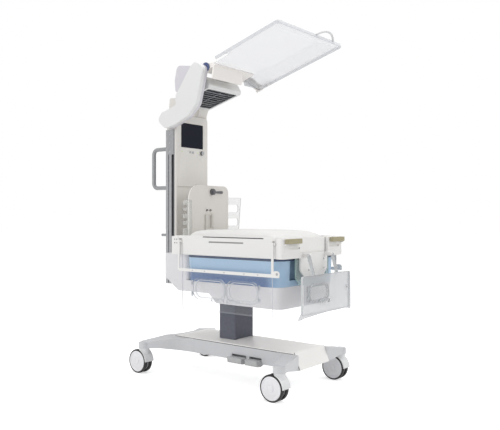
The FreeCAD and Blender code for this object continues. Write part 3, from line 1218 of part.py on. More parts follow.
def canopy_grips():
    """Bowed grab handle at the foot edge, and the corner grip at the head of the right side."""
    y = BOW_Y
    x = CANOPY_FOOT
    z = RIM_Z - 4
    bow = Part.Arc(V(x, y[0], z), V(x + 34, (y[0] + y[1]) / 2, z + 22), V(x, y[1], z)).toShape()
    circle, low, high = bow.Curve, bow.FirstParameter, bow.LastParameter
    disc = Part.Face(Part.Wire(Part.Circle(bow.valueAt(low), bow.tangentAt(low), 6.5).toShape()))
    handle = disc.revolve(circle.Center, circle.Axis, math.degrees(high - low))
    handle = handle.cut(box((x - 60, x), (-400, 400), (z - 60, z + 60)))
    x = CANOPY_HEAD + 34
    corner = plate([(x, CANOPY_HALF - 44, 10), (x + 74, CANOPY_HALF - 34, 14), (x + 94, CANOPY_HALF - 8, 10),
                    (x + 10, CANOPY_HALF - 8, 10)], "xy", RIM_Z - RIM_H, RIM_Z - 8)
    corner = corner.cut(plate([(x + 16, CANOPY_HALF - 36, 6), (x + 64, CANOPY_HALF - 28, 8),
                               (x + 74, CANOPY_HALF - 14, 6), (x + 22, CANOPY_HALF - 14, 6)],
                              "xy", RIM_Z - RIM_H - 1, RIM_Z))
    pad = box((x + 10, x + 90), (CANOPY_HALF - 9, CANOPY_HALF - 6), (RIM_Z - RIM_H, RIM_Z - 8))
    corner = join(corner, pad)
    return [canopy_placed(handle), canopy_placed(corner)]


def main():
    os.makedirs("parts", exist_ok=True)
    save("base_frame", base_frame())
    save("base_cover", base_cover())
    for name in PEDAL_SPANS:
        save(f"lift_pedal_{name}", lift_pedal(name))
    for end_name, end in ENDS.items():
        for side_name, side in SIDES.items():
            place = f"{end_name}_{side_name}"
            save(f"caster_fork_{place}", caster_fork(end, side))
            save(f"caster_wheel_{place}", *caster_wheel(end, side))
            save(f"caster_brake_{place}", caster_brake(end, side))
    save("lift_column", lift_column())
    save("lift_actuator", lift_actuator())
    save("lift_sleeve", lift_sleeve())
    save("actuator_rod", actuator_rod())
    save("under_shell", under_shell())
    save("blue_tub", blue_tub())
    save("bed_frame", bed_frame(), *door_pivots())
    save("corner_blocks", *corner_blocks())
    save("mattress_tray", mattress_tray())
    save("mattress", mattress())
    save("foot_bracket", foot_bracket())
    save("foot_window", foot_window())
    save("foot_door", foot_door())
    save("foot_port_door", foot_port_door())
    for side_name, side in SIDES.items():
        save(f"side_door_{side_name}", door_pane(side))
        save(f"door_rail_{side_name}", door_rail(side))
        save(f"release_grip_{side_name}", release_grip(side))
        for port in PORTS:
            save(f"port_door_{side_name}_{port}", port_door(side, port))
    save("mast_rails", *mast_rails())
    save("mast_front_cover", mast_front_cover())
    save("mast_rear_cover", mast_rear_cover())
    save("display_screen", display_screen())
    save("control_knob", control_knob())
    for name, y in KEY_Y.items():
        save(f"{name}_key", control_key(y))
    save("push_handles", *[push_handle(s) for s in (-1, 1)], *[hook_peg(s) for s in (-1, 1)])
    save("head_plate", head_plate())
    save("tubing_guides", *tubing_guides())
    save("probe_holder", *probe_holder())
    save("heater_posts", heater_posts())
    save("heater_housing", heater_housing())
    save("heater_grille", heater_grille())
    save("heater_elements", *heater_elements())
    save("arm_cover", arm_cover())
    save("arm_inner_plate", arm_inner_plate())
    save("canopy_shell", canopy_shell())
    save("canopy_neck", canopy_neck())
    save("canopy_grips", *canopy_grips())


main()
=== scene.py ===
# %% [markdown]
# # An open infant incubator, dressed in Blender
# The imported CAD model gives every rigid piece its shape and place. This script loads it, gives each
# piece a finish, and adds what a drawing of solids leaves out: the padded mattress, tyres, gaskets,
# screws and lamps. Everything is in metres, in the frame of the CAD model.

# %% Load the frame
import bmesh
import bpy
import json
import math
import numpy as np
from mathutils.bvhtree import BVHTree
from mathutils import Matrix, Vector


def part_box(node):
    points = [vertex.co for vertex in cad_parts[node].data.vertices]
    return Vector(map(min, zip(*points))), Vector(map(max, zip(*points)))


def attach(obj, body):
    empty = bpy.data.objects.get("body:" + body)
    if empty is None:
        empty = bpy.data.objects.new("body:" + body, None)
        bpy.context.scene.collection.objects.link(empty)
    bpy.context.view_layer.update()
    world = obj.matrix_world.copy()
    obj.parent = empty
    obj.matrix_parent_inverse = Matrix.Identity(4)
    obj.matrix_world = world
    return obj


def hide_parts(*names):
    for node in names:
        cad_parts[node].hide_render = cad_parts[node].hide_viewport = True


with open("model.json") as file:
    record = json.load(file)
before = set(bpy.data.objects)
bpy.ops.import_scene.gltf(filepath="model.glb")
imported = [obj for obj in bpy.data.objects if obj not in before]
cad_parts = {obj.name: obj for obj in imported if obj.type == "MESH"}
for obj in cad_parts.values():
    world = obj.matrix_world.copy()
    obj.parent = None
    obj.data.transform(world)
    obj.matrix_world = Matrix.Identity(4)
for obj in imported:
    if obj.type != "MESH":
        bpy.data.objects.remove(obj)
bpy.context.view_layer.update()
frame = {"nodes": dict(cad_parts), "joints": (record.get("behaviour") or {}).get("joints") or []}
nodes = frame["nodes"]

# %% [markdown]
# ## Camera
# The photograph was taken from the foot end, to the left, at about the height of the mattress.
# Its vertical edges stay vertical, so the camera is level. A place in front of the foot end, a lens
# that gives the same convergence, and a plain turn about the vertical axis reproduce it.

# %% Camera
def level_camera(place, turn_deg, lens):
    """Level camera at a place, turned about the vertical axis; 36 mm wide sensor."""
    data = bpy.data.cameras.new("photo_camera")
    data.sensor_width = 36.0
    data.lens = lens
    camera = bpy.data.objects.new("photo_camera", data)
    camera.location = place
    camera.rotation_euler = (math.pi / 2, 0.0, math.radians(turn_deg))
    bpy.context.scene.collection.objects.link(camera)
    bpy.context.scene.camera = camera


CAMERA_PLACE = (2.5828, -3.1436, 1.0028)
CAMERA_TURN, CAMERA_LENS = 38.54, 47.07
level_camera(CAMERA_PLACE, CAMERA_TURN, CAMERA_LENS)
print("camera stands", CAMERA_PLACE[2], "m above the floor")

# %% [markdown]
# ## Studio
# A product photograph of a white machine on white needs soft light from wide lamps, one side
# stronger than the other, so that the faces differ. The floor still takes the light and the shadow.
# What the camera, the gloss and the clear panels see behind the object is made white by Light Path,
# so no extra light falls on the white plastics.

# %% Node helpers
def srgb(r, g, b):
    """Linear colour of a screen colour given in 0 to 255."""
    v = np.array([r, g, b]) / 255.0
    linear = np.where(v <= 0.04045, v / 12.92, ((v + 0.055) / 1.055) ** 2.4)
    return (*linear.tolist(), 1.0)


def set_inputs(node, **values):
    """Sets inputs of a node by name, with _ for a space."""
    for name, value in values.items():
        node.inputs[name.replace("_", " ")].default_value = value
    return node


def new_node(tree, kind, **inputs):
    """A shader node with some of its inputs set by name."""
    return set_inputs(tree.nodes.new(kind), **inputs)


def math_node(tree, kind, a, b=None, clamp=False):
    """Math node on two values, each a socket or a number."""
    made = tree.nodes.new("ShaderNodeMath")
    made.operation = kind
    made.use_clamp = clamp
    for slot, value in ((0, a), (1, b)):
        if value is None:
            continue
        if isinstance(value, (int, float)):
            made.inputs[slot].default_value = value
        else:
            tree.links.new(value, made.inputs[slot])
    return made.outputs[0]


print("a mid grey of 128 is", round(srgb(128, 128, 128)[0], 3), "in linear light")

# %% World
def seen_ray(tree):
    """1 for camera, glossy and transmission rays, else 0."""
    rays = tree.nodes.new("ShaderNodeLightPath").outputs
    seen = rays["Is Camera Ray"]
    for kind in ("Is Glossy Ray", "Is Transmission Ray"):
        seen = math_node(tree, "MAXIMUM", seen, rays[kind])
    return seen


AMBIENT = 0.56
world = bpy.data.worlds.new("studio")
world.use_nodes = True
sky = world.node_tree
sky.nodes.clear()
ambient = new_node(sky, "ShaderNodeBackground", Color=(1, 1, 1, 1), Strength=AMBIENT)
white = new_node(sky, "ShaderNodeBackground", Color=(1, 1, 1, 1), Strength=1.0)
choose = sky.nodes.new("ShaderNodeMixShader")
sky.links.new(seen_ray(sky), choose.inputs[0])
sky.links.new(ambient.outputs[0], choose.inputs[1])
sky.links.new(white.outputs[0], choose.inputs[2])
out = sky.nodes.new("ShaderNodeOutputWorld")
sky.links.new(choose.outputs[0], out.inputs[0])
bpy.context.scene.world = world
bpy.context.scene.view_settings.view_transform = "Standard"
print("ambient light", AMBIENT)

# %% Floor
def studio_floor(half, lift):
    """Flat floor; its lit colour is raised to white for the rays that see it."""
    mesh = bpy.data.meshes.new("floor")
    corners = [(-half, -half, 0), (half, -half, 0), (half, half, 0), (-half, half, 0)]
    mesh.from_pydata(corners, [], [(0, 1, 2, 3)])
    floor = bpy.data.objects.new("floor", mesh)
    bpy.context.scene.collection.objects.link(floor)
    paint = bpy.data.materials.new("floor_paper")
    paint.use_nodes = True
    tree = paint.node_tree
    tree.nodes.clear()
    matt = new_node(tree, "ShaderNodeBsdfDiffuse", Color=(0.90, 0.90, 0.90, 1))
    glow = new_node(tree, "ShaderNodeEmission", Color=(1, 1, 1, 1))
    tree.links.new(math_node(tree, "MULTIPLY", seen_ray(tree), lift), glow.inputs["Strength"])
    add = tree.nodes.new("ShaderNodeAddShader")
    tree.links.new(matt.outputs[0], add.inputs[0])
    tree.links.new(glow.outputs[0], add.inputs[1])
    end = tree.nodes.new("ShaderNodeOutputMaterial")
    tree.links.new(add.outputs[0], end.inputs[0])
    mesh.materials.append(paint)


FLOOR_HALF, FLOOR_LIFT = 30.0, 0.56
studio_floor(FLOOR_HALF, FLOOR_LIFT)
print("floor", 2 * FLOOR_HALF, "m wide")

# %% Softboxes
def softbox(name, place, aim, size, power):
    """Square area lamp at a place, turned towards aim."""
    data = bpy.data.lights.new(name, "AREA")
    data.shape = "RECTANGLE"
    data.size = data.size_y = size
    data.energy = power
    lamp = bpy.data.objects.new(name, data)
    lamp.location = place
    way = np.array(aim) - np.array(place)
    flat = math.hypot(way[0], way[1])
    lamp.rotation_euler = (math.atan2(flat, -way[2]), 0.0, math.atan2(-way[0], way[1]))
    bpy.context.scene.collection.objects.link(lamp)


softbox("key_foot_right", place=(3.6, 2.2, 3.4), aim=(0, 0, 1.0), size=2.6, power=62)
softbox("fill_left", place=(-0.8, -4.2, 2.2), aim=(0, 0, 0.9), size=2.4, power=50)
softbox("top_light", place=(0.4, -0.2, 4.6), aim=(0, 0, 0), size=3.0, power=62)
print("lamps:", len(bpy.data.lights))

# %% [markdown]
# ## Effects shared by the finishes
# Moulded plastic, paint and rubber share the same small irregularities: a slow change of tone over
# a hand's width, a fine grain from the mould, and faint handling marks that change the gloss. Each
# is a node group with named sockets, built once. A group reads Object coordinates, so the pattern
# keeps its real size on every piece.

# %% Node groups
def node_group(name, inputs, outputs):
    """Empty shader group with float or colour sockets: inputs are (name, kind, default)."""
    tree = bpy.data.node_groups.new(name, "ShaderNodeTree")
    kinds = {"f": "NodeSocketFloat", "c": "NodeSocketColor", "v": "NodeSocketVector"}
    for label, kind, value in inputs:
        socket = tree.interface.new_socket(label, in_out="INPUT", socket_type=kinds[kind])
        socket.default_value = value
    for label, kind in outputs:
        tree.interface.new_socket(label, in_out="OUTPUT", socket_type=kinds[kind])
    return tree, tree.nodes.new("NodeGroupInput"), tree.nodes.new("NodeGroupOutput")


def noise_value(tree, vector, scale, detail=2.0, rough=0.5):
    """Noise from 0 to 1 at a scale in waves per metre."""
    made = new_node(tree, "ShaderNodeTexNoise", Scale=scale, Detail=detail, Roughness=rough)
    tree.links.new(vector, made.inputs["Vector"])
    return made.outputs["Fac"]


print("group helpers ready")

# %% Moulded surface
def moulded_group():
    """Tone, gloss and grain of a moulded or painted surface: value = colour x (1 +- mottle)."""
    tree, given, result = node_group(
        "moulded_surface",
        [("Colour", "c", (0.8, 0.8, 0.8, 1)), ("Mottle", "f", 0.03), ("Roughness", "f", 0.4),
         ("Grain Scale", "f", 900.0), ("Marks", "f", 0.06)],
        [("Colour", "c"), ("Roughness", "f"), ("Height", "f")])
    place = tree.nodes.new("ShaderNodeTexCoord").outputs["Object"]
    slow = noise_value(tree, place, scale=5.0, detail=3.0)
    swing = math_node(tree, "SUBTRACT", slow, 0.5)
    tone = math_node(tree, "MULTIPLY_ADD", swing, given.outputs["Mottle"])
    tone.node.inputs[2].default_value = 1.0
    shade = tree.nodes.new("ShaderNodeVectorMath")
    shade.operation = "SCALE"
    tree.links.new(given.outputs["Colour"], shade.inputs[0])
    tree.links.new(tone, shade.inputs["Scale"])
    tree.links.new(shade.outputs[0], result.inputs["Colour"])
    marks = noise_value(tree, place, scale=38.0, detail=4.0, rough=0.65)
    extra = math_node(tree, "MULTIPLY", math_node(tree, "SUBTRACT", marks, 0.5), given.outputs["Marks"])
    gloss = math_node(tree, "ADD", given.outputs["Roughness"], extra, clamp=True)
    tree.links.new(gloss, result.inputs["Roughness"])
    grain = new_node(tree, "ShaderNodeTexNoise", Detail=1.0)
    tree.links.new(place, grain.inputs["Vector"])
    tree.links.new(given.outputs["Grain Scale"], grain.inputs["Scale"])
    tree.links.new(grain.outputs["Fac"], result.inputs["Height"])
    return tree


MOULDED = moulded_group()
print("group:", MOULDED.name)

# %% Edge wear, floor dust and cut edges
CORNER_FROM, CORNER_GAIN = 0.54, 9.0
SHEET_FACE, EDGE_GAIN = 0.93, 6.0


def wear_group():
    """Mask of the wear on corners and of the dust near the floor, from 0 to 1."""
    tree, given, result = node_group(
        "edge_wear_and_dust",
        [("Wear", "f", 0.5), ("Dust Height", "f", 0.12)],
        [("Wear", "f"), ("Dust", "f")])
    place = tree.nodes.new("ShaderNodeTexCoord").outputs["Object"]
    sharp = tree.nodes.new("ShaderNodeNewGeometry").outputs["Pointiness"]
    past = math_node(tree, "SUBTRACT", sharp, CORNER_FROM)
    rise = math_node(tree, "MULTIPLY", past, CORNER_GAIN, clamp=True)
    patch = noise_value(tree, place, scale=60.0, detail=3.0)
    rubbed = math_node(tree, "MULTIPLY", rise, patch)
    worn = math_node(tree, "MULTIPLY", rubbed, given.outputs["Wear"], clamp=True)
    tree.links.new(worn, result.inputs["Wear"])
    height = tree.nodes.new("ShaderNodeSeparateXYZ")
    tree.links.new(place, height.inputs[0])
    low = math_node(tree, "DIVIDE", height.outputs["Z"], given.outputs["Dust Height"])
    near = math_node(tree, "SUBTRACT", 1.0, low, clamp=True)
    tree.links.new(math_node(tree, "MULTIPLY", near, patch, clamp=True), result.inputs["Dust"])
    return tree


def cut_edge_group():
    """Mask of the cut edges of a sheet: 1 where the normal leaves the sheet's own axis."""
    tree, given, result = node_group("sheet_edge", [("Axis", "v", (0, 1, 0))], [("Edge", "f")])
    facing = tree.nodes.new("ShaderNodeTexCoord").outputs["Normal"]
    along = tree.nodes.new("ShaderNodeVectorMath")
    along.operation = "DOT_PRODUCT"
    tree.links.new(facing, along.inputs[0])
    tree.links.new(given.outputs["Axis"], along.inputs[1])
    flat = math_node(tree, "ABSOLUTE", along.outputs["Value"])
    edge = math_node(tree, "MULTIPLY", math_node(tree, "SUBTRACT", SHEET_FACE, flat), EDGE_GAIN, clamp=True)
    tree.links.new(edge, result.inputs["Edge"])
    return tree


WEAR, CUT_EDGE = wear_group(), cut_edge_group()
print("groups:", [g.name for g in bpy.data.node_groups])

# %% [markdown]
# ## Finishes
# Each finish is one material with its own Principled shader. The group gives its colour, gloss and
# grain; what is the same all over, such as the coat or the metal share, is set on the shader.

# %% Groups and mixed colours
def place_group(tree, group, **values):
    """Group node in a material, with its inputs set by name."""
    made = tree.nodes.new("ShaderNodeGroup")
    made.node_tree = group
    return set_inputs(made, **values)


def mix_colour(tree, share, a, b):
    """Colour mixed from a to b; each may be a socket or a colour."""
    made = tree.nodes.new("ShaderNodeMix")
    made.data_type = "RGBA"
    for socket, value in ((made.inputs[0], share), (made.inputs[6], a), (made.inputs[7], b)):
        if isinstance(value, (tuple, list, float, int)):
            socket.default_value = value
        else:
            tree.links.new(value, socket)
    return made.outputs[2]


print("group and mix helpers ready")

# %% Shader, relief and finish
def shader_of(material):
    """Node tree of a material and its Principled shader."""
    return material.node_tree, material.node_tree.nodes["Principled BSDF"]


def new_material(name, **inputs):
    """New material with inputs of its shader set by name, its node tree and the shader."""
    material = bpy.data.materials.new(name)
    material.use_nodes = True
    tree, shader = shader_of(material)
    return material, tree, set_inputs(shader, **inputs)


FLOOR_DUST, DUST_HEIGHT = srgb(150, 145, 138), 0.16


def add_relief(tree, shader, height, strength, distance):
    """Bump of a height on the shader, over the relief that it already has."""
    relief = new_node(tree, "ShaderNodeBump", Strength=strength, Distance=distance)
    tree.links.new(height, relief.inputs["Height"])
    for link in shader.inputs["Normal"].links:
        tree.links.new(link.from_socket, relief.inputs["Normal"])
    tree.links.new(relief.outputs["Normal"], shader.inputs["Normal"])


def finish(name, colour, roughness=0.4, mottle=0.04, grain=900.0, bump=0.0006, metallic=0.0, coat=0.0,
           worn=None, wear=0.0, dust=0.0, marks=0.08, specular=0.5):
    """Material of a rigid surface: moulded group, worn corners and floor dust into one shader."""
    material, tree, shader = new_material(name, Metallic=metallic, Coat_Weight=coat,
                                          Specular_IOR_Level=specular)
    base = place_group(tree, MOULDED, Colour=colour, Mottle=mottle, Roughness=roughness, Grain_Scale=grain,
                       Marks=marks)
    masks = place_group(tree, WEAR, Wear=wear, Dust_Height=DUST_HEIGHT)
    top = mix_colour(tree, masks.outputs["Wear"], base.outputs["Colour"], worn or colour)
    if dust:
        share = math_node(tree, "MULTIPLY", masks.outputs["Dust"], dust)
        top = mix_colour(tree, share, top, FLOOR_DUST)
    tree.links.new(top, shader.inputs["Base Color"])
    tree.links.new(base.outputs["Roughness"], shader.inputs["Roughness"])
    add_relief(tree, shader, base.outputs["Height"], strength=0.35, distance=bump)
    return material


def wear_finish(piece, material):
    """The piece shows only this material."""
    piece.data.materials.clear()
    piece.data.materials.append(material)


print("finish helpers ready")

# %% Whites, greys and paints
warm_white = finish("deck_white_plastic", srgb(235, 234, 232), 0.42, worn=srgb(246, 245, 243), wear=0.5)
shell_white = finish("shell_white_plastic", srgb(224, 223, 226), 0.44, worn=srgb(232, 232, 234), wear=0.4)
cool_white = finish("arm_white_plastic", srgb(227, 228, 227), 0.40, worn=srgb(246, 246, 246), wear=0.4)
mast_white = finish("mast_cover_plastic", srgb(222, 219, 214), 0.45, worn=srgb(238, 236, 232), wear=0.5)
base_grey = finish("base_grey_paint", srgb(203, 204, 207), 0.38, grain=1400, bump=0.0004, coat=0.15,
                   worn=srgb(224, 224, 225), wear=0.5, dust=0.12)
cover_white = finish("base_cover_plastic", srgb(247, 245, 242), 0.38, coat=0.2,
                     worn=srgb(252, 251, 250), wear=0.4)
column_paint = finish("column_slate_paint", srgb(88, 90, 102), 0.48, mottle=0.02, grain=1600, bump=0.0001,
                      worn=srgb(130, 132, 138), wear=0.4, marks=0.02, specular=0.22)
handle_paint = finish("handle_grey_paint", srgb(150, 152, 154), 0.36, coat=0.2,
                      worn=srgb(188, 189, 190), wear=0.5)
neck_white = finish("canopy_neck_plastic", srgb(244, 240, 236), 0.40, worn=srgb(250, 249, 247), wear=0.4)
bow_white = finish("bow_handle_plastic", srgb(216, 216, 218), 0.40, worn=srgb(234, 234, 235), wear=0.4)
arm_grey = finish("arm_inner_plastic", srgb(212, 210, 216), 0.42, worn=srgb(226, 225, 229), wear=0.4)
trim_grey = finish("trim_grey_plastic", srgb(176, 178, 180), 0.45, worn=srgb(200, 200, 200), wear=0.4)
dark_trim = finish("dark_trim_plastic", srgb(52, 54, 58), 0.45, worn=srgb(96, 97, 100), wear=0.6)
print("whites, greys and paints:", len(bpy.data.materials))

# %% Rubber, metal, seals, trims and painted shade strips
pedal_rubber = finish("pedal_rubber", srgb(176, 177, 178), 0.62, grain=500, bump=0.001,
                      worn=srgb(205, 205, 205), wear=0.8, dust=0.3)
tyre_rubber = finish("tyre_rubber", srgb(34, 34, 36), 0.58, grain=700, bump=0.0006,
                     worn=srgb(64, 63, 62), wear=0.4, dust=0.12, specular=0.3)
disc_plastic = finish("wheel_disc_plastic", srgb(240, 240, 243), 0.36,
                      worn=srgb(240, 240, 240), wear=0.5, dust=0.15)
fork_plastic = finish("caster_fork_plastic", srgb(228, 229, 230), 0.40,
                      worn=srgb(240, 240, 240), wear=0.5, dust=0.2)
olive_grip = finish("olive_soft_touch", srgb(154, 146, 116), 0.66, grain=600, bump=0.0012,
                    worn=srgb(190, 184, 158), wear=0.8)
alloy = finish("anodised_alloy", srgb(142, 143, 146), 0.36, metallic=0.45, grain=1800, bump=0.0002,
               worn=srgb(214, 214, 216), wear=0.5)
steel = finish("ground_steel", srgb(170, 171, 174), 0.25, metallic=1.0, grain=2000, bump=0.0002)
# Painted shadow: a near-black strip for the shade in the bed side's slit and in the gaps beside the foot end
# panel.
gap_painted_shadow = finish("gap_painted_shadow_strip", srgb(30, 28, 27), 0.6, worn=srgb(80, 78, 76), wear=0.2)
# Painted shade: a grey strip standing for the shade inside the bed side's shorter slot.
slot_painted_shade = finish("side_slot_painted_shade", srgb(150, 150, 149), 0.5, worn=srgb(170, 170, 170), wear=0.3)
# Painted shadow: the navy of the shadow gap between the bed frame and the top of the tub.
navy_painted_shadow = finish("tub_navy_painted_shadow", srgb(46, 62, 92), 0.5, worn=srgb(110, 124, 148), wear=0.3)
bracket_strip = finish("bracket_strip_brown", srgb(112, 100, 98), 0.5, worn=srgb(150, 142, 138), wear=0.5)
port_seal = finish("port_seal_silicone", srgb(214, 217, 220), 0.5, grain=500, bump=0.0003)
# Painted shade: the dark of the shaded groove floor in each upright.
groove_painted_shade = finish("groove_painted_shade_strip", srgb(70, 71, 74), 0.55, worn=srgb(104, 104, 106), wear=0.5)
hinge_blue = finish("hinge_cap_blue", srgb(58, 74, 120), 0.4, worn=srgb(110, 124, 160), wear=0.6)
print("rigid finishes:", len(bpy.data.materials))

# %% [markdown]
# ## Blue tub
# The tub is moulded in one sky blue, but its lower half turns under and stands in the shade of the
# doors, so it looks darker. The change follows the height of the surface and fades out towards the
# foot end, which stands free. Both are read from Object coordinates.

# %% Blue tub finish
def object_axes(tree):
    """X, Y and Z of Object coordinates."""
    split = tree.nodes.new("ShaderNodeSeparateXYZ")
    tree.links.new(tree.nodes.new("ShaderNodeTexCoord").outputs["Object"], split.inputs[0])
    return split.outputs


SHADE_Z, SHADE_X = ("Z", 0.640, 0.700, 0.85), ("X", 0.400, 0.520, 1.0)
SHADE_BLUE = srgb(58, 88, 142)


def blue_finish():
    """Sky blue that deepens below the belt: share = step down in Z x step down in X, both smooth."""
    material = finish("tub_blue_plastic", srgb(165, 194, 220), 0.34, mottle=0.05, coat=0.25,
                      worn=srgb(196, 218, 238), wear=0.4)
    tree, shader = shader_of(material)
    source = shader.inputs["Base Color"].links[0].from_socket
    axes = object_axes(tree)
    shares = []
    for axis, start, end, least in (SHADE_Z, SHADE_X):
        ramp = new_node(tree, "ShaderNodeMapRange", From_Min=start, From_Max=end, To_Min=least, To_Max=0.0)
        ramp.interpolation_type = "SMOOTHSTEP"
        tree.links.new(axes[axis], ramp.inputs["Value"])
        shares.append(ramp.outputs["Result"])
    mixed = mix_colour(tree, math_node(tree, "MULTIPLY", *shares), source, SHADE_BLUE)
    tree.links.new(mixed, shader.inputs["Base Color"])
    return material


tub_blue = blue_finish()
print("blue finish made:", tub_blue.name)

# %% [markdown]
# ## Clear panels
# The walls and the canopy are clear acrylic sheet. A thin clear sheet hardly bends what is behind
# it, so a see-through share in Alpha shows it better than refraction would: faces let almost all
# light through, and cut edges, where light gathers, are pale and nearly solid. The mirror gloss
# stays on top.

# %% Acrylic
ALONG_X, ALONG_Y, ROOF_WAY = (1, 0, 0), (0, 1, 0), (-0.284, 0, 0.9588)
RIM_SHARE = 0.10


def acrylic(name, axis, tint, face_alpha, edge_alpha, edge_tint, roughness=0.06):
    """Clear sheet: alpha and colour are mixed from face to cut edge by the direction of the normal."""
    material, tree, shader = new_material(name, IOR=1.49, Specular_IOR_Level=0.3)
    edge = place_group(tree, CUT_EDGE, Axis=axis).outputs["Edge"]
    base = place_group(tree, MOULDED, Colour=tint, Mottle=0.03, Roughness=roughness, Grain_Scale=60.0,
                       Marks=0.10)
    tree.links.new(mix_colour(tree, edge, base.outputs["Colour"], edge_tint), shader.inputs["Base Color"])
    tree.links.new(base.outputs["Roughness"], shader.inputs["Roughness"])
    rim = new_node(tree, "ShaderNodeLayerWeight", Blend=0.25)
    face = math_node(tree, "MULTIPLY", rim.outputs["Facing"], RIM_SHARE)
    face = math_node(tree, "ADD", face, face_alpha, clamp=True)
    ramp = new_node(tree, "ShaderNodeMapRange", To_Max=edge_alpha)
    tree.links.new(edge, ramp.inputs["Value"])
    tree.links.new(face, ramp.inputs["To Min"])
    tree.links.new(ramp.outputs["Result"], shader.inputs["Alpha"])
    return material


clear_side = acrylic("clear_side_wall", ALONG_Y, srgb(236, 239, 243), 0.02, 0.88, srgb(217, 220, 225))
clear_foot = acrylic("clear_foot_wall", ALONG_X, srgb(206, 208, 211), 0.48, 0.90, srgb(214, 217, 219))
clear_port = acrylic("clear_port_door", ALONG_Y, srgb(232, 234, 236), 0.05, 0.88, srgb(222, 225, 229))
clear_foot_port = acrylic("clear_foot_port", ALONG_X, srgb(206, 208, 210), 0.30, 0.88, srgb(216, 219, 221))
clear_guide = acrylic("clear_tube_guide", ALONG_X, srgb(232, 234, 232), 0.26, 0.70, srgb(200, 202, 200))
window_green = acrylic("foot_window_acrylic", ALONG_X, srgb(206, 222, 218), 0.30, 0.72, srgb(176, 204, 198))
frosted = acrylic("head_plate_acrylic", ALONG_X, srgb(228, 224, 219), 0.86, 0.96, srgb(238, 236, 232),
                  roughness=0.30)
canopy_clear = acrylic("canopy_acrylic", ROOF_WAY, srgb(240, 241, 245), 0.30, 0.70, srgb(226, 228, 231))
print("clear finishes made, materials:", len(bpy.data.materials))

# %% [markdown]
# ## The rest of the finishes
# The screen is dark cover glass under a thin gloss. The heater's guard is painted wire, and its
# tubes share the bright metal of the reflector behind them. The mattress cover is a coated cloth:
# two crossing waves in the bump give its weave. The probe holder is one group of mouldings in the
# CAD model, but its parts have different colours, which its material tells apart by their height.

# %% Mattress cover
def cover_cloth():
    """Wipe-clean cover: fine square weave under a soft coat; height = sum of two sine waves."""
    material = finish("mattress_cover_cloth", srgb(233, 232, 230), 0.56, mottle=0.03, grain=420, bump=0.0004)
    tree, shader = shader_of(material)
    set_inputs(shader, Sheen_Weight=0.15)
    place = tree.nodes.new("ShaderNodeTexCoord").outputs["Object"]
    threads = []
    for axis in ("X", "Y"):
        wave = new_node(tree, "ShaderNodeTexWave", Scale=160.0, Distortion=0.4, Detail=1.0)
        wave.bands_direction = axis
        tree.links.new(place, wave.inputs["Vector"])
        threads.append(wave.outputs["Fac"])
    add_relief(tree, shader, math_node(tree, "ADD", *threads), strength=0.25, distance=0.0003)
    return material


mattress_cover = cover_cloth()
print("cloth finish made:", mattress_cover.name)

# %% Screen, heater and probe holder
screen_glass = finish("screen_cover_glass", srgb(26, 29, 42), 0.16, mottle=0.02, grain=40, bump=0.0,
                      coat=0.02, marks=0.05, specular=0.08)
reflector = finish("heater_reflector", srgb(120, 122, 128), 0.28, metallic=0.9, grain=500, bump=0.0006)
grille_wire = finish("heater_grille_wire", srgb(88, 90, 96), 0.40, metallic=0.6,
                     worn=srgb(130, 130, 134), wear=0.6)


def banded(name, bands, roughness=0.45):
    """Material whose colour steps with height: bands are (lowest height in metres, colour)."""
    material = finish(name, bands[0][1], roughness, wear=0.0)
    tree, shader = shader_of(material)
    colour = shader.inputs["Base Color"].links[0].from_socket
    height = object_axes(tree)["Z"]
    for start, shade in bands[1:]:
        above = math_node(tree, "GREATER_THAN", height, start)
        colour = mix_colour(tree, above, colour, shade)
    tree.links.new(colour, shader.inputs["Base Color"])
    return material


SMALL_GROMMETS_FROM, RING_FROM = 1.03, 1.06
probe_finish = banded("probe_holder_plastics", [
    (0.0, srgb(206, 203, 197)), (SMALL_GROMMETS_FROM, srgb(70, 70, 72)), (RING_FROM, srgb(92, 92, 96))])
print("materials:", len(bpy.data.materials))

# %% Dress the nodes
FINISH_OF = {
    "base_frame": base_grey, "base_cover": cover_white, "lift_pedal_up": pedal_rubber,
    "lift_pedal_down": pedal_rubber, "lift_column": column_paint, "lift_sleeve": column_paint,
    "lift_actuator": alloy, "actuator_rod": steel, "under_shell": shell_white, "blue_tub": tub_blue,
    "bed_frame": warm_white, "corner_blocks": warm_white, "mattress_tray": cool_white,
    "mattress": cool_white, "foot_bracket": warm_white, "foot_window": window_green,
    "foot_door": clear_foot, "foot_port_door": clear_foot_port, "mast_rails": alloy,
    "mast_front_cover": mast_white, "mast_rear_cover": trim_grey, "display_screen": screen_glass,
    "control_knob": trim_grey, "menu_key": trim_grey, "silence_key": trim_grey,
    "push_handles": handle_paint, "head_plate": frosted, "tubing_guides": clear_guide,
    "probe_holder": probe_finish, "heater_posts": mast_white, "heater_housing": cool_white,
    "heater_grille": grille_wire, "heater_elements": reflector, "arm_cover": cool_white,
    "arm_inner_plate": arm_grey, "canopy_shell": canopy_clear, "canopy_neck": neck_white,
    "canopy_grips": bow_white,
}
FINISH_OF_SET = {
    "side_door": clear_side, "door_rail": warm_white, "port_door": clear_port, "release_grip": olive_grip,
    "caster_fork": fork_plastic, "caster_wheel": tyre_rubber, "caster_brake": dark_trim,
}
for name, node in nodes.items():
    kind = "_".join(name.split("_")[:2])
    wear_finish(node, FINISH_OF[name] if name in FINISH_OF else FINISH_OF_SET[kind])
print("dressed", len(nodes), "nodes")

# %% [markdown]
# ## New pieces
# Small fittings are surfaces of two parameters, worked out as whole arrays. A turned form such as a
# screw or a tyre is a profile carried round an axis, and a bead or gasket is a small section carried
# along a closed path. Two helpers make most of them, so the edges stay clean and the count low.

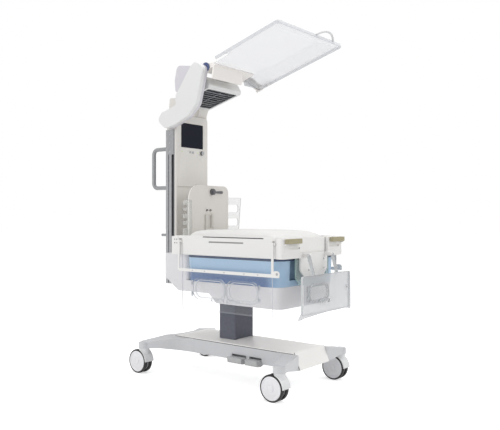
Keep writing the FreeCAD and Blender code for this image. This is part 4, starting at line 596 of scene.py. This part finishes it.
# %% Surfaces from a profile
def grid_faces(rows, columns, close_rows, close_columns):
    """Quads between the points of a grid, as an array of four vertex numbers each."""
    r = np.arange(rows if close_rows else rows - 1)
    c = np.arange(columns if close_columns else columns - 1)
    r, c = np.meshgrid(r, c, indexing="ij")
    r2, c2 = (r + 1) % rows, (c + 1) % columns
    quads = np.stack([r * columns + c, r * columns + c2, r2 * columns + c2, r2 * columns + c], axis=-1)
    return quads.reshape(-1, 4)


def surface(rows, close_rows=False, close_columns=True):
    """Points and quads of a grid that is given row by row."""
    points = np.array(rows)
    return points.reshape(-1, 3), grid_faces(*points.shape[:2], close_rows, close_columns)


def turned(profile, centre, axis, segments=32):
    """Profile (along, radius) about an axis: p = centre + along*axis + radius*(cos t*side + sin t*up)."""
    axis = np.array(axis, float) / np.linalg.norm(axis)
    side = np.cross(axis, (0, 0, 1.0) if abs(axis[2]) < 0.9 else (0, 1.0, 0))
    side /= np.linalg.norm(side)
    up = np.cross(axis, side)
    t = np.linspace(0, 2 * math.pi, segments, endpoint=False)
    profile = np.array(profile, float)
    ring = np.cos(t)[:, None] * side + np.sin(t)[:, None] * up
    points = np.array(centre) + profile[:, None, :1] * axis + profile[:, None, 1:] * ring[None]
    return surface(points)


def carried(section, path, out, up):
    """Small closed section (a, b) carried along a closed path: p = path + a*out + b*up."""
    section, path = np.array(section, float), np.array(path, float)
    out, up = np.broadcast_to(out, path.shape), np.broadcast_to(up, path.shape)
    points = path[:, None] + section[None, :, :1] * out[:, None] + section[None, :, 1:] * up[:, None]
    return surface(points, close_rows=True)


def joined(parts):
    """Several surfaces as one list of points and one list of quads."""
    points, faces, count = [], [], 0
    for p, f in parts:
        points.append(p)
        faces.append(f + count)
        count += len(p)
    return np.concatenate(points), np.concatenate(faces)


print("a turned ring of 3 x 8 points has", len(grid_faces(3, 8, False, True)), "faces")

# %% Mesh piece
def make_piece(name, parts, body, material, smooth_deg=40.0):
    """Mesh object from surfaces, merged, turned outwards, dressed and set on its body."""
    points, faces = joined(parts)
    mesh = bpy.data.meshes.new(name)
    mesh.from_pydata(points.tolist(), [], faces.tolist())
    work = bmesh.new()
    work.from_mesh(mesh)
    bmesh.ops.remove_doubles(work, verts=work.verts, dist=1e-6)
    bmesh.ops.recalc_face_normals(work, faces=work.faces)
    work.to_mesh(mesh)
    work.free()
    mesh.polygons.foreach_set("use_smooth", np.ones(len(mesh.polygons), bool))
    mesh.set_sharp_from_angle(angle=math.radians(smooth_deg))
    piece = bpy.data.objects.new(name, mesh)
    bpy.context.scene.collection.objects.link(piece)
    mesh.materials.append(material)
    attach(piece, body)
    return piece


# %% Rounded rectangles
def rounded_path(a, b, radius, steps=8):
    """Closed rounded rectangle in two numbers, with a pair of unit outward vectors."""
    points, outs = [], []
    for ca, cb, start in ((a[1] - radius, b[1] - radius, 0.0), (a[0] + radius, b[1] - radius, 90.0),
                          (a[0] + radius, b[0] + radius, 180.0), (a[1] - radius, b[0] + radius, 270.0)):
        t = np.radians(np.linspace(start, start + 90.0, steps))
        way = np.stack([np.cos(t), np.sin(t)], axis=-1)
        points.append(np.array([ca, cb]) + radius * way)
        outs.append(way)
    return np.concatenate(points), np.concatenate(outs)


def placed_loop(path, outs, axis, value):
    """Path and outward vectors in space, with a level of value along axis 1 (Y) or 2 (Z)."""
    return np.insert(path, axis, value, axis=1), np.insert(outs, axis, 0.0, axis=1)


print("a rounded rectangle has", len(rounded_path((0, 2), (0, 1), 0.1)[0]), "points")

# %% [markdown]
# ## Wheels
# A caster wheel has a soft dark tyre with rounded shoulders on a light disc, which is dished and
# carries a raised ring and a hub cap. Turned profiles suit it, because every section is round.
# The twin wheels ride on the wheel's body, so they spin and swivel with it.

# %% Wheel profiles
WHEEL_R = 0.075
WEB_GAP = 0.009
TYRE_W = 0.024
SHOULDER_DROP = 0.0034
DISC_R = 0.0648
DISC_BACK = 0.006
HUB_R = 0.017


def tyre_profile(steps=14):
    """Closed tyre section: a tread whose radius falls as a fourth power to the shoulders, then the flanks."""
    across = np.linspace(-1, 1, steps)
    tread = WHEEL_R - SHOULDER_DROP * np.abs(across) ** 4
    out = TYRE_W / 2 * across * (1 - 0.06 * np.abs(across) ** 6)
    run = [(o + TYRE_W / 2, r) for o, r in zip(out, tread)]
    flank = [(TYRE_W - 0.0012, DISC_R), (0.0012, DISC_R)]
    return run + flank + [run[0]]


def disc_profile(face=TYRE_W):
    """Disc section from its back to the hub: rim lip, raised ring, dish and cap."""
    return [(DISC_BACK, 0.0), (DISC_BACK, DISC_R), (face - 0.001, DISC_R), (face + 0.0004, DISC_R - 0.0015),
            (face + 0.0004, DISC_R - 0.0065), (face - 0.0022, DISC_R - 0.0085),
            (face - 0.0030, DISC_R - 0.020), (face - 0.0010, DISC_R - 0.024), (face - 0.0008, HUB_R + 0.008),
            (face - 0.0022, HUB_R + 0.005), (face - 0.0022, HUB_R), (face + 0.0022, HUB_R - 0.0006),
            (face + 0.0029, HUB_R - 0.003), (face + 0.0030, 0.0)]


print("profiles of", len(tyre_profile()), "and", len(disc_profile()), "points")

# %% Twin wheels
AXLE_R, AXLE_HALF = 0.006, WEB_GAP + 0.007
corners = [f"{end}_{side}" for end in ("foot", "head") for side in ("left", "right")]
for corner in corners:
    name, body = f"caster_wheel_{corner}", f"wheel_{corner}"
    low, high = np.array(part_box(name))
    middle = (low + high) / 2
    tyres, discs = [], []
    for way in (-1, 1):
        start = middle + np.array((0, way * WEB_GAP, 0))
        tyres.append(turned(tyre_profile(), start, (0, way, 0), segments=72))
        discs.append(turned(disc_profile(), start, (0, way, 0), segments=72))
    shaft = [(-AXLE_HALF, 0), (-AXLE_HALF, AXLE_R), (AXLE_HALF, AXLE_R), (AXLE_HALF, 0)]
    discs.append(turned(shaft, middle, (0, 1, 0), segments=24))
    tyre = make_piece(f"tyres_{corner}", tyres, body, tyre_rubber)
    make_piece(f"wheel_discs_{corner}", discs, body, disc_plastic)
    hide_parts(name)
print("wheels on", len(corners), "casters")

# %% [markdown]
# ## Mattress
# The pad is foam in a wipe-clean cover: flat underneath, crowned on top, with soft edges, and thinner
# towards the foot. It starts as two sheets that meet round a rounded rectangle, a little smaller than
# its space. The sheets are remeshed evenly and blown up by a short cloth simulation, which gives the
# cover its soft edge. Its movement is capped so that it stays in its space.

# %% Sheets of the mattress
def pad_start(low, high, shrink=0.003, nx=60, ny=44):
    """Crowned pad: height = foot taper x (0.3 + 0.7 x (1 - |u|^9)^0.5 x (1 - |v|^9)^0.5)."""
    low, high = low + shrink, high - shrink
    u, v = np.meshgrid(np.linspace(-1, 1, nx), np.linspace(-1, 1, ny), indexing="ij")
    corner = 1 - 0.035 * np.abs(u) ** 10 * np.abs(v) ** 10
    x = (low[0] + high[0]) / 2 + (high[0] - low[0]) / 2 * u * corner
    y = (low[1] + high[1]) / 2 + (high[1] - low[1]) / 2 * v * corner
    edge = np.sqrt(1 - np.abs(u) ** 9) * np.sqrt(1 - np.abs(v) ** 9)
    taper = 1 - 0.30 * np.clip((u - 0.25) / 0.75, 0, 1) ** 1.6
    rise = (high[2] - low[2]) * (0.30 + 0.70 * edge) * taper
    top = np.stack([x, y, low[2] + rise], axis=-1).reshape(-1, 3)
    bottom = np.stack([x, y, np.full_like(x, low[2])], axis=-1).reshape(-1, 3)
    count = nx * ny
    ring = np.concatenate([np.arange(ny), ny * np.arange(1, nx) + ny - 1,
                           count - 2 - np.arange(ny - 1), ny * np.arange(nx - 2, 0, -1)])
    walls = np.stack([ring, np.roll(ring, -1), np.roll(ring, -1) + count, ring + count], axis=-1)
    sheet = grid_faces(nx, ny, False, False)
    return np.concatenate([top, bottom]), np.concatenate([sheet, sheet + count, walls])


pad_low, pad_high = np.array(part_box("mattress"))
print("space for the mattress:", np.round(pad_high - pad_low, 3), "m")

# %% Swelling
def swollen(start, voxel=0.006, steps=20, cap=0.005):
    """Remesh, then frames of cloth under inner pressure without gravity; movement is capped."""
    remesh = start.modifiers.new("even", "REMESH")
    remesh.mode = "VOXEL"
    remesh.voxel_size = voxel
    view = bpy.context.evaluated_depsgraph_get()
    even = bpy.data.meshes.new_from_object(start.evaluated_get(view))
    start.modifiers.clear()
    start.data = even
    before = np.empty(len(even.vertices) * 3)
    even.vertices.foreach_get("co", before)
    cloth = start.modifiers.new("cover", "CLOTH")
    cloth.settings.use_pressure = True
    cloth.settings.uniform_pressure_force = 4.0
    cloth.settings.effector_weights.gravity = 0.0
    cloth.settings.quality = 5
    for frame_number in range(1, steps + 1):
        bpy.context.scene.frame_set(frame_number)
    view = bpy.context.evaluated_depsgraph_get()
    after = np.empty_like(before)
    blown = bpy.data.meshes.new_from_object(start.evaluated_get(view))
    blown.vertices.foreach_get("co", after)
    start.modifiers.clear()
    bpy.context.scene.frame_set(1)
    before, after = before.reshape(-1, 3), after.reshape(-1, 3)
    move = after - before
    far = np.linalg.norm(move, axis=1, keepdims=True)
    move *= np.minimum(1.0, cap / np.maximum(far, 1e-9))
    even.vertices.foreach_set("co", (before + move).ravel())
    print("cloth moved the cover by up to", round(float(far.max()) * 1000, 1), "mm before the cap")


pad_mesh = bpy.data.meshes.new("mattress_pad")
pad_points, pad_faces = pad_start(pad_low, pad_high)
pad_mesh.from_pydata(pad_points.tolist(), [], pad_faces.tolist())
mattress_pad = bpy.data.objects.new("mattress_pad", pad_mesh)
bpy.context.scene.collection.objects.link(mattress_pad)
swollen(mattress_pad)
print("pad swollen, vertices:", len(mattress_pad.data.vertices))

# %% Mattress
ROOM_BELOW, ROOM_ABOVE = 0.0006, 0.0002
pad_mesh = mattress_pad.data
inside = np.empty(len(pad_mesh.vertices) * 3)
pad_mesh.vertices.foreach_get("co", inside)
inside = np.clip(inside.reshape(-1, 3), pad_low + ROOM_BELOW, pad_high - ROOM_ABOVE)
pad_mesh.vertices.foreach_set("co", inside.ravel())
pad_mesh.polygons.foreach_set("use_smooth", np.ones(len(pad_mesh.polygons), bool))
finer = mattress_pad.modifiers.new("finer", "SUBSURF")
finer.levels = finer.render_levels = 1
pad_mesh.materials.clear()
pad_mesh.materials.append(mattress_cover)
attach(mattress_pad, "tray")
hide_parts("mattress")
print("mattress pad:", len(pad_mesh.polygons), "faces")

# %% [markdown]
# ## Mattress welt
# A welded seam runs round the side of the cover, just above the underside. The simulation moves the
# cover, so the seam's path is found afterwards: rays from outside meet the pad at the seam's height,
# and a small oval section is carried along the places where they meet it.

# %% Mattress welt
WELT_RISE, WELT_SINK = 0.010, 0.0006
PAD_ROUND, RAY_START, RAY_LENGTH = 0.05, 0.05, 0.12


def oval(width, height, count=10):
    """Closed oval section."""
    t = np.linspace(0, 2 * math.pi, count, endpoint=False)
    return np.stack([width / 2 * np.cos(t), height / 2 * np.sin(t)], axis=-1)


def outline_of(mesh, height, low, high, count=240):
    """Points where rays from outside meet the pad at a height, with the outward direction at each."""
    tree = BVHTree.FromPolygons([v.co for v in mesh.vertices], [tuple(p.vertices) for p in mesh.polygons])
    path, outs = rounded_path((low[0], high[0]), (low[1], high[1]), PAD_ROUND, count // 4)
    path, outs = placed_loop(path, outs, 2, height)
    hits = [tree.ray_cast(tuple(p + o * RAY_START), tuple(-o), RAY_LENGTH)[0] for p, o in zip(path, outs)]
    return np.array([p if hit is None else tuple(hit) for p, hit in zip(path, hits)]), outs


welt_z = pad_low[2] + WELT_RISE
welt_path, welt_out = outline_of(pad_mesh, welt_z, pad_low, pad_high)
welt_section = oval(width=0.0022, height=0.0032) - np.array([WELT_SINK, 0.0])
make_piece("mattress_welt", [carried(welt_section, welt_path, welt_out, (0, 0, 1))], "tray",
           mattress_cover)
print("welt runs at", round(float(welt_z), 3), "m")

# %% [markdown]
# ## Screws
# Pan-head screws hold the plates. Each is a turned profile with a round pit for the driver. They
# stand on the face that they hold, and the screws of one place are one piece.

# %% Screws
def screw(place, axis, r=0.0042, height=0.0016):
    """Pan head: low dome with a pit in the middle."""
    profile = [(-0.0006, 0), (-0.0006, r), (height * 0.45, r), (height * 0.85, r * 0.82), (height, r * 0.52),
               (height * 0.95, r * 0.40), (height * 0.15, r * 0.36), (height * 0.15, 0)]
    return turned(profile, place, axis, segments=20)


BRACKET_X = 0.547
BRACKET_SCREWS = ((-0.062, 0.746), (0.100, 0.750), (-0.056, 0.694), (0.104, 0.696))
PLATE_SCREW_X, PLATE_SCREW_Z = -0.468, (1.527, 1.470, 1.412)
BLOCK_SCREW_X, BLOCK_SCREW_Z = (-0.259, -0.241), (0.834, 0.856)
bracket_screws = [screw((BRACKET_X, y, z), (1, 0, 0), r=0.0052) for y, z in BRACKET_SCREWS]
make_piece("bracket_screws", bracket_screws, "carriage", steel)
plate_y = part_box("mast_rails")[1][1]
plate_screws = [screw((PLATE_SCREW_X, way * plate_y, z), (0, way, 0), r=0.0048)
                for way in (-1, 1) for z in PLATE_SCREW_Z]
make_piece("side_plate_screws", plate_screws, "carriage", steel)
block_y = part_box("corner_blocks")[0][1]
block_screws = [screw((x, block_y, z), (0, -1, 0), r=0.0034)
                for x in BLOCK_SCREW_X for z in BLOCK_SCREW_Z]
make_piece("head_block_screws", block_screws, "carriage", dark_trim)
print("screws:", len(bracket_screws) + len(plate_screws) + len(block_screws))

# %% [markdown]
# ## Lamps and the knob
# Two small green lamps stand beside the keys. Each is a low dome in the cover that glows a little.
# The knob has a ring of fine flutes for the fingers: its radius follows a cosine round the axis, so
# that the ribs come from the formula and not from many small boxes.

# %% Lamps
def lamp_finish():
    """Green lamp: smooth plastic with a weak glow of its own."""
    material = finish("green_lamp", srgb(150, 196, 70), 0.2, mottle=0.02, grain=60, bump=0.0)
    set_inputs(shader_of(material)[1], Emission_Color=srgb(150, 210, 70), Emission_Strength=0.35)
    return material


LAMP_Y = (-0.098, 0.052)
LAMP_R = 0.0032
cover_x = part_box("display_screen")[1][0]
keys_z = (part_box("menu_key")[0][2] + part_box("menu_key")[1][2]) / 2
dome = [(-0.001, 0), (-0.001, LAMP_R), (0.0009, LAMP_R), (0.0017, LAMP_R - 0.001), (0.0020, 0)]
lamps = [turned(dome, (cover_x + 0.0005, y, keys_z), (1, 0, 0), segments=20) for y in LAMP_Y]
make_piece("status_lamps", lamps, "carriage", lamp_finish())
print("lamps at", round(float(keys_z), 3), "m")

# %% Knob ring
def fluted_ring(centre, radius, depth, flutes, low, high, segments=240):
    """Ring whose radius is r - depth x (0.5 + 0.5 cos(flutes t)), with an inner wall at 0.8 of it."""
    t = np.linspace(0, 2 * math.pi, segments, endpoint=False)
    rows = []
    for along, share in ((low, 0.80), (low, 1.0), (high - 0.001, 1.0), (high, 0.93), (high, 0.80)):
        r = radius * share - depth * share * (0.5 + 0.5 * np.cos(flutes * t))
        rows.append(np.stack([np.full_like(t, along), r * np.cos(t), r * np.sin(t)], axis=-1))
    return surface(np.array(rows) + np.array(centre), close_rows=True)


knob_low, knob_high = np.array(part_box("control_knob"))
knob_centre = (cover_x, (knob_low[1] + knob_high[1]) / 2, (knob_low[2] + knob_high[2]) / 2)
knob_r = (knob_high[1] - knob_low[1]) / 2
FLUTE_DEPTH, FLUTES = 0.0009, 40
ring = fluted_ring(knob_centre, knob_r + FLUTE_DEPTH, FLUTE_DEPTH, FLUTES, low=0.002, high=0.0115)
make_piece("knob_grip_ring", [ring], "knob", dark_trim)
print("knob radius", round(float(knob_r) * 1000, 1), "mm,", FLUTES, "flutes")

# %% [markdown]
# ## Gaskets and seams
# Where two mouldings meet there is a line: a soft bead that is carried along the joint. The helper
# that made the welt of the mattress also makes the pale seal round each hand port and the dark bead
# between the base cover and its casting. Down the nose of the cover the seam is straight, so there
# it is a half-round bar.

# %% Half-round bar
def bar(start, end, out, width, height, count=8):
    """Half-round bar from start to end that stands height off its seat, with closed ends."""
    start, end, out = np.array(start, float), np.array(end, float), np.array(out, float)
    along = (end - start) / np.linalg.norm(end - start)
    side = np.cross(along, out)
    t = np.linspace(0, math.pi, count)
    rows = []
    for place, share in ((start, 0.0), (start, 0.85), (start + along * width * 0.3, 1.0),
                         (end - along * width * 0.3, 1.0), (end, 0.85), (end, 0.0)):
        ring = np.cos(t)[:, None] * side * width / 2 * share + np.sin(t)[:, None] * out * height * share
        rows.append(place + ring - out * 0.0005)
    return surface(rows)


print("a bar has", len(bar((0, 0, 0), (1, 0, 0), (0, 0, 1), 0.01, 0.004)[1]), "faces")

# %% Port seals
HINGE_GAP, PORT_INSET, PORT_ROUND = 0.0115, 0.0125, 0.043
PORT_TALL = 0.126
PANE_T, SEAL_LIFT = 0.005, 0.0005
pane_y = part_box("side_door_right")[0][1] + PANE_T
for side, way in (("left", -1), ("right", 1)):
    seals_and_shadow_bars = []
    for port in ("head", "foot"):
        low, high = np.array(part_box(f"port_door_{side}_{port}"))
        across = (low[0] + PORT_INSET + HINGE_GAP * (port == "head"),
                  high[0] - PORT_INSET - HINGE_GAP * (port == "foot"))
        upright = (high[2] - PORT_TALL + PORT_INSET, high[2] - PORT_INSET)
        around = rounded_path(across, upright, PORT_ROUND, 10)
        path, outs = placed_loop(*around, 1, way * (pane_y + SEAL_LIFT))
        seals_and_shadow_bars.append(carried(oval(width=0.0036, height=0.0010), path, outs, (0, 1, 0)))
    make_piece(f"port_seals_{side}", seals_and_shadow_bars, f"door_{side}", port_seal)
print("pane face at", round(float(pane_y), 4), "m")

# %% Base cover seal
SEAM_FRONT, SEAM_PROUD = 0.508, 0.0002
NOSE_TOP_Z, NOSE_FOOT_Z, NOSE_WAY = 0.237, 0.146, np.array((0.90, 0.30, 0.32))
cover_low, cover_high = np.array(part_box("base_cover"))
casting_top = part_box("base_frame")[1][2]
half = cover_high[1] + SEAM_PROUD
around = rounded_path((cover_low[0], SEAM_FRONT), (-half, half), radius=0.002, steps=3)
path, outs = placed_loop(*around, 2, casting_top)
seam = [carried(oval(width=0.0016, height=0.0040), path, outs, (0, 0, 1))]
nose_top, nose_foot = (SEAM_FRONT + 0.006, NOSE_TOP_Z), (cover_high[0] - 0.003, NOSE_FOOT_Z)
for side in (-1, 1):
    top, foot = (np.array((x, side * half, z)) for x, z in (nose_top, nose_foot))
    seam.append(bar(top, foot, NOSE_WAY * (1, side, 1), width=0.0040, height=0.0014))
make_piece("base_cover_seal", seam, "base", dark_trim)
print("seam of the base cover at", round(float(casting_top), 3), "m")

# %% [markdown]
# ## Painted shade in the bed side and over the tub
# Each side of the bed has a long slit, dark in shade, and below it a shorter slot, grey in shade. Flat
# strips painted in these shades fill them: a rounded rectangle whose rim is raised a little, and whose
# face is its own outline drawn inwards. Between the bed and the tub lies a navy band of painted shadow,
# where the bed frame shades the tub: an upright oval carried round the top of the tub.

# %% Flat strip
def strip(x, z, y, way, proud=0.0006):
    """Painted shade strip with rounded ends in the XZ plane: its outline raised towards way, then drawn
    inwards.
    """
    radius = min(x[1] - x[0], z[1] - z[0]) * 0.45
    path, outs = rounded_path(x, z, radius, 6)
    rows = []
    for inset, lift in ((0.0, -0.001), (0.0, proud * 0.6), (0.0003, proud), (radius * 0.98, proud)):
        ring = path - outs * inset
        rows.append(np.stack([ring[:, 0], np.full(len(ring), y + way * lift), ring[:, 1]], axis=-1))
    return surface(rows)


SLIT_X, SLIT_Z = (-0.030, 0.418), (0.8712, 0.8764)
SLOT_X, SLOT_Z = (0.0154, 0.2746), (0.8414, 0.8486)
BED_FACE, SLOT_DEEP = 0.309, 0.006
# The strips in the long slits are painted shadow, not a part.
slits = [strip(SLIT_X, SLIT_Z, s * BED_FACE, s) for s in (-1, 1)]
make_piece("side_slit_painted_shadows", slits, "carriage", gap_painted_shadow)
# The strips in the shorter slots are painted shade, set near the face of the slot.
slots = [strip(SLOT_X, SLOT_Z, s * (BED_FACE - SLOT_DEEP), s, proud=0.0042) for s in (-1, 1)]
make_piece("side_slot_painted_shades", slots, "carriage", slot_painted_shade)
print("inserts on both sides of the bed")

# %% Painted shadow round the top of the tub
# A navy band of painted shadow, an upright oval, carried round the top of the tub under the bed frame.
SHADOW_BAND_T, SHADOW_BAND_TALL, SHADOW_BAND_DROP, TUB_ROUND = 0.0030, 0.0138, 0.0072, 0.076
tub_low, tub_high = np.array(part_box("blue_tub"))
around = rounded_path((tub_low[0], tub_high[0]), (tub_low[1], tub_high[1]), TUB_ROUND, 14)
path, outs = placed_loop(*around, 2, tub_high[2] - SHADOW_BAND_DROP)
tub_shadow_band = carried(oval(SHADOW_BAND_T, SHADOW_BAND_TALL, count=12), path, outs, (0, 0, 1))
make_piece("tub_top_painted_shadow", [tub_shadow_band], "carriage", navy_painted_shadow)
print("seal round the tub:", len(tub_shadow_band[1]), "faces")

# %% [markdown]
# ## Grooved uprights
# The groove of each upright is in deep shade. A thin dark strip of painted shade with a shallow channel,
# set on the floor of the groove, stands for it. It leaves the groove open.

# %% Groove strips
GROOVE_X, GROOVE_Z = (-0.4555, -0.4245), (0.562, 1.555)
GROOVE_FLOOR, STRIP_T, CHANNEL_T = 0.136, 0.0009, 0.0004
x0, x1 = GROOVE_X
channel = [(x0, 0.0), (x0, STRIP_T), (x0 + 0.008, STRIP_T), (x0 + 0.010, CHANNEL_T), (x1 - 0.010, CHANNEL_T),
           (x1 - 0.008, STRIP_T), (x1, STRIP_T), (x1, 0.0)]
count = len(channel)
caps = np.array([[0, 1, 2, 7], [2, 3, 4, 5], [2, 5, 6, 7]])
faces = np.concatenate([grid_faces(2, count, False, True), caps, caps[:, ::-1] + count])
strips = []
for side in (-1, 1):
    points = [[x, side * (GROOVE_FLOOR + 0.0001 + rise), z] for z in GROOVE_Z for x, rise in channel]
    strips.append((np.array(points), faces))
make_piece("groove_painted_shade_strips", strips, "carriage", groove_painted_shade)
print("groove strips", round(GROOVE_Z[1] - GROOVE_Z[0], 3), "m long")

# %% [markdown]
# ## Pedal treads and rail clips
# Each pedal has raised ribs along its top, and each door rail carries small grey clips and a round
# cap at its foot end. A rib or clip is a half-round bar on a short line, and the cap is turned.

# %% Pedal ribs
RIB_Y, RIB_PITCH, RIB_END = -0.160, 0.0085, 0.014
BEND_Y, BEND_Z, PEDAL_SLOPE = -0.154, 0.162, 0.17
RIB_WAY = (0, -0.16, 0.987)
for way in ("up", "down"):
    low, high = np.array(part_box(f"lift_pedal_{way}"))
    ribs = []
    for y in (RIB_Y, RIB_Y - RIB_PITCH, RIB_Y - 2 * RIB_PITCH):
        z = BEND_Z + (y - BEND_Y) * PEDAL_SLOPE
        ends = (low[0] + RIB_END, y, z), (high[0] - RIB_END, y, z)
        ribs.append(bar(*ends, RIB_WAY, width=0.0034, height=0.0014))
    make_piece(f"pedal_ribs_{way}", ribs, f"pedal_{way}", pedal_rubber)
print("ribs on each pedal:", len(ribs))

# %% Rail clips
CLIP_X, CLIP_Z, CLIP_HALF = (-0.098, -0.001, 0.150, 0.296, 0.393), 0.675, 0.004
CAP_X, CAP_Z = 0.522, 0.686
CAP = [(-0.0005, 0), (-0.0005, 0.0075), (0.0008, 0.0075), (0.0012, 0.0066), (0.0006, 0.0056), (0.0006, 0)]
rail_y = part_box("door_rail_right")[1][1]
for side, way in (("left", -1), ("right", 1)):
    y, out = way * rail_y, (0, way, 0)
    clips = [bar((x - CLIP_HALF, y, CLIP_Z), (x + CLIP_HALF, y, CLIP_Z), out, width=0.006, height=0.0014)
             for x in CLIP_X]
    clips.append(turned(CAP, (CAP_X, y, CAP_Z), out, segments=28))
    make_piece(f"rail_clips_{side}", clips, f"door_{side}", trim_grey)
print("clips and caps at", round(float(rail_y), 3), "m from the middle")

# %% [markdown]
# ## Hinge collar
# The canopy's hinge shows a blue collar between the arm and the canopy's neck. It is turned about the
# hinge axis with rounded rims, and it rides on the arm.

# %% Hinge collar
COLLAR_Y, COLLAR_R, COLLAR_BORE = -0.190, 0.0295, 0.0095
collar = [(0.0004, COLLAR_BORE), (0.0004, COLLAR_R - 0.0015), (0.0012, COLLAR_R), (0.0066, COLLAR_R),
          (0.0074, COLLAR_R - 0.0015), (0.0074, COLLAR_BORE)]
hinge_place = next(j for j in frame["joints"] if j["name"] == "canopy_level")["pos_m"]
collar_place = (hinge_place[0], COLLAR_Y, hinge_place[2])
collar = turned(collar, collar_place, (0, 1, 0), segments=48)
make_piece("canopy_hinge_collar", [collar], "arm", hinge_blue)
print("collar at", [round(v, 3) for v in collar_place])

# %% [markdown]
# ## Strip at the foot bracket
# Along the lower edge of the bracket there is a brown strip with small raised squares. A cosine along
# its length, sharpened into steps, lifts the squares out of the strip.

# %% Bracket strip
def ribbed_strip(y, z, x, ribs, lift, count=160):
    """Strip in the YZ plane whose face is x + lift / (1 + exp(-9 cos(ribs t))), lower at its rims."""
    across = np.linspace(y[0], y[1], count)
    t = (across - y[0]) / (y[1] - y[0])
    wave = 1 / (1 + np.exp(-9 * np.cos(2 * math.pi * ribs * t)))
    ends = np.clip(np.minimum(t, 1 - t) * 60, 0, 1)
    rows = []
    for height, share in ((z[0], 0.0), (z[0], 1.0), (z[0] + 0.003, 1.0),
                          (z[1] - 0.003, 1.0), (z[1], 1.0), (z[1], 0.0)):
        inner = 1.0 if height not in z else 0.35
        face = x + (0.0004 + lift * wave * ends * inner) * share - 0.0006 * (1 - share)
        rows.append(np.stack([face, across, np.full(count, height)], axis=-1))
    return surface(rows, close_rows=True, close_columns=False)


STRIP_Y, STRIP_X, SQUARES, SQUARE_LIFT = (-0.092, 0.106), 0.546, 9, 0.0012
strip_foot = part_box("foot_bracket")[0][2] + 0.0015
squares = ribbed_strip(STRIP_Y, (strip_foot, strip_foot + 0.013), STRIP_X, SQUARES, SQUARE_LIFT)
make_piece("bracket_strip", [squares], "carriage", bracket_strip)
print("strip with", SQUARES, "squares at", round(float(strip_foot), 4), "m")

# %% [markdown]
# ## Trims of the foot end
# The gaps beside the foot end panel are in shade, painted as dark bars. The foot door has a moulded bar
# down its left side and two latches, one of them with a dark tip. All bars are half-round, with closed ends.

# %% Painted shadow in the foot end gaps
PANEL_X, GAP_Y = 0.532, 0.1391
bed_low, bed_high = np.array(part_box("bed_frame"))
low_end, high_end = bed_low[2] + 0.024, bed_high[2] - 0.006
# Painted shadow: dark bars for the shade in the gaps beside the end panel.
seals_and_shadow_bars = [bar((PANEL_X, y, low_end), (PANEL_X, y, high_end), (1, 0, 0), width=0.0034, height=0.0012)
         for y in (-GAP_Y, GAP_Y)]
make_piece("end_panel_painted_shadows", seals_and_shadow_bars, "carriage", gap_painted_shadow)
print("seals from", round(float(low_end), 3), "to", round(float(high_end), 3), "m")

# %% Foot door trims
def wedge(tail, tip, half, z, x, height, count=24):
    """Low wedge on a pane: its height grows with s^1.5 along its length, its width swells as a sine."""
    s = np.linspace(0, 1, count)
    y = tail + (tip - tail) * s
    wide = half * np.sin(math.pi * (0.08 + 0.84 * s)) ** 0.6
    rise = x + height * s ** 1.5 * (1 - 0.6 * s ** 12)
    rows = [np.stack([np.where(k, rise, x - 0.0005), y, z + w * wide], axis=-1)
            for k, w in ((0, -1.0), (1, -0.86), (1, 0.0), (1, 0.86), (0, 1.0))]
    return surface(rows, close_rows=True, close_columns=False)


DOOR_X = 0.627
BAR_Y, BAR_Z = -0.233, (0.516, 0.628)
LATCH_Y, LATCH_Z, TIP_Z, TIP_LIFT = 0.223, (0.566, 0.598), (0.576, 0.586), 0.0038
WEDGE_Y, WEDGE_HALF, WEDGE_Z, WEDGE_LIFT = (0.052, 0.026), 0.0065, 0.5225, 0.0060


def upright_bar(x, y, z, width, height):
    """Half-round bar on the foot door, from z[0] up to z[1]."""
    return bar((x, y, z[0]), (x, y, z[1]), (1, 0, 0), width, height)


latches = [wedge(*WEDGE_Y, WEDGE_HALF, WEDGE_Z, DOOR_X, WEDGE_LIFT),
           upright_bar(DOOR_X, LATCH_Y, LATCH_Z, width=0.0130, height=0.0040)]
side_bar = upright_bar(DOOR_X, BAR_Y, BAR_Z, width=0.0065, height=0.0024)
tip = upright_bar(DOOR_X + TIP_LIFT, LATCH_Y, TIP_Z, width=0.0050, height=0.0012)
make_piece("foot_door_bar", [side_bar], "foot_door", shell_white)
make_piece("foot_door_latches", latches, "foot_door", shell_white)
make_piece("foot_door_latch_tips", [tip], "foot_door", dark_trim)
print("foot door trims made at", DOOR_X, "m")
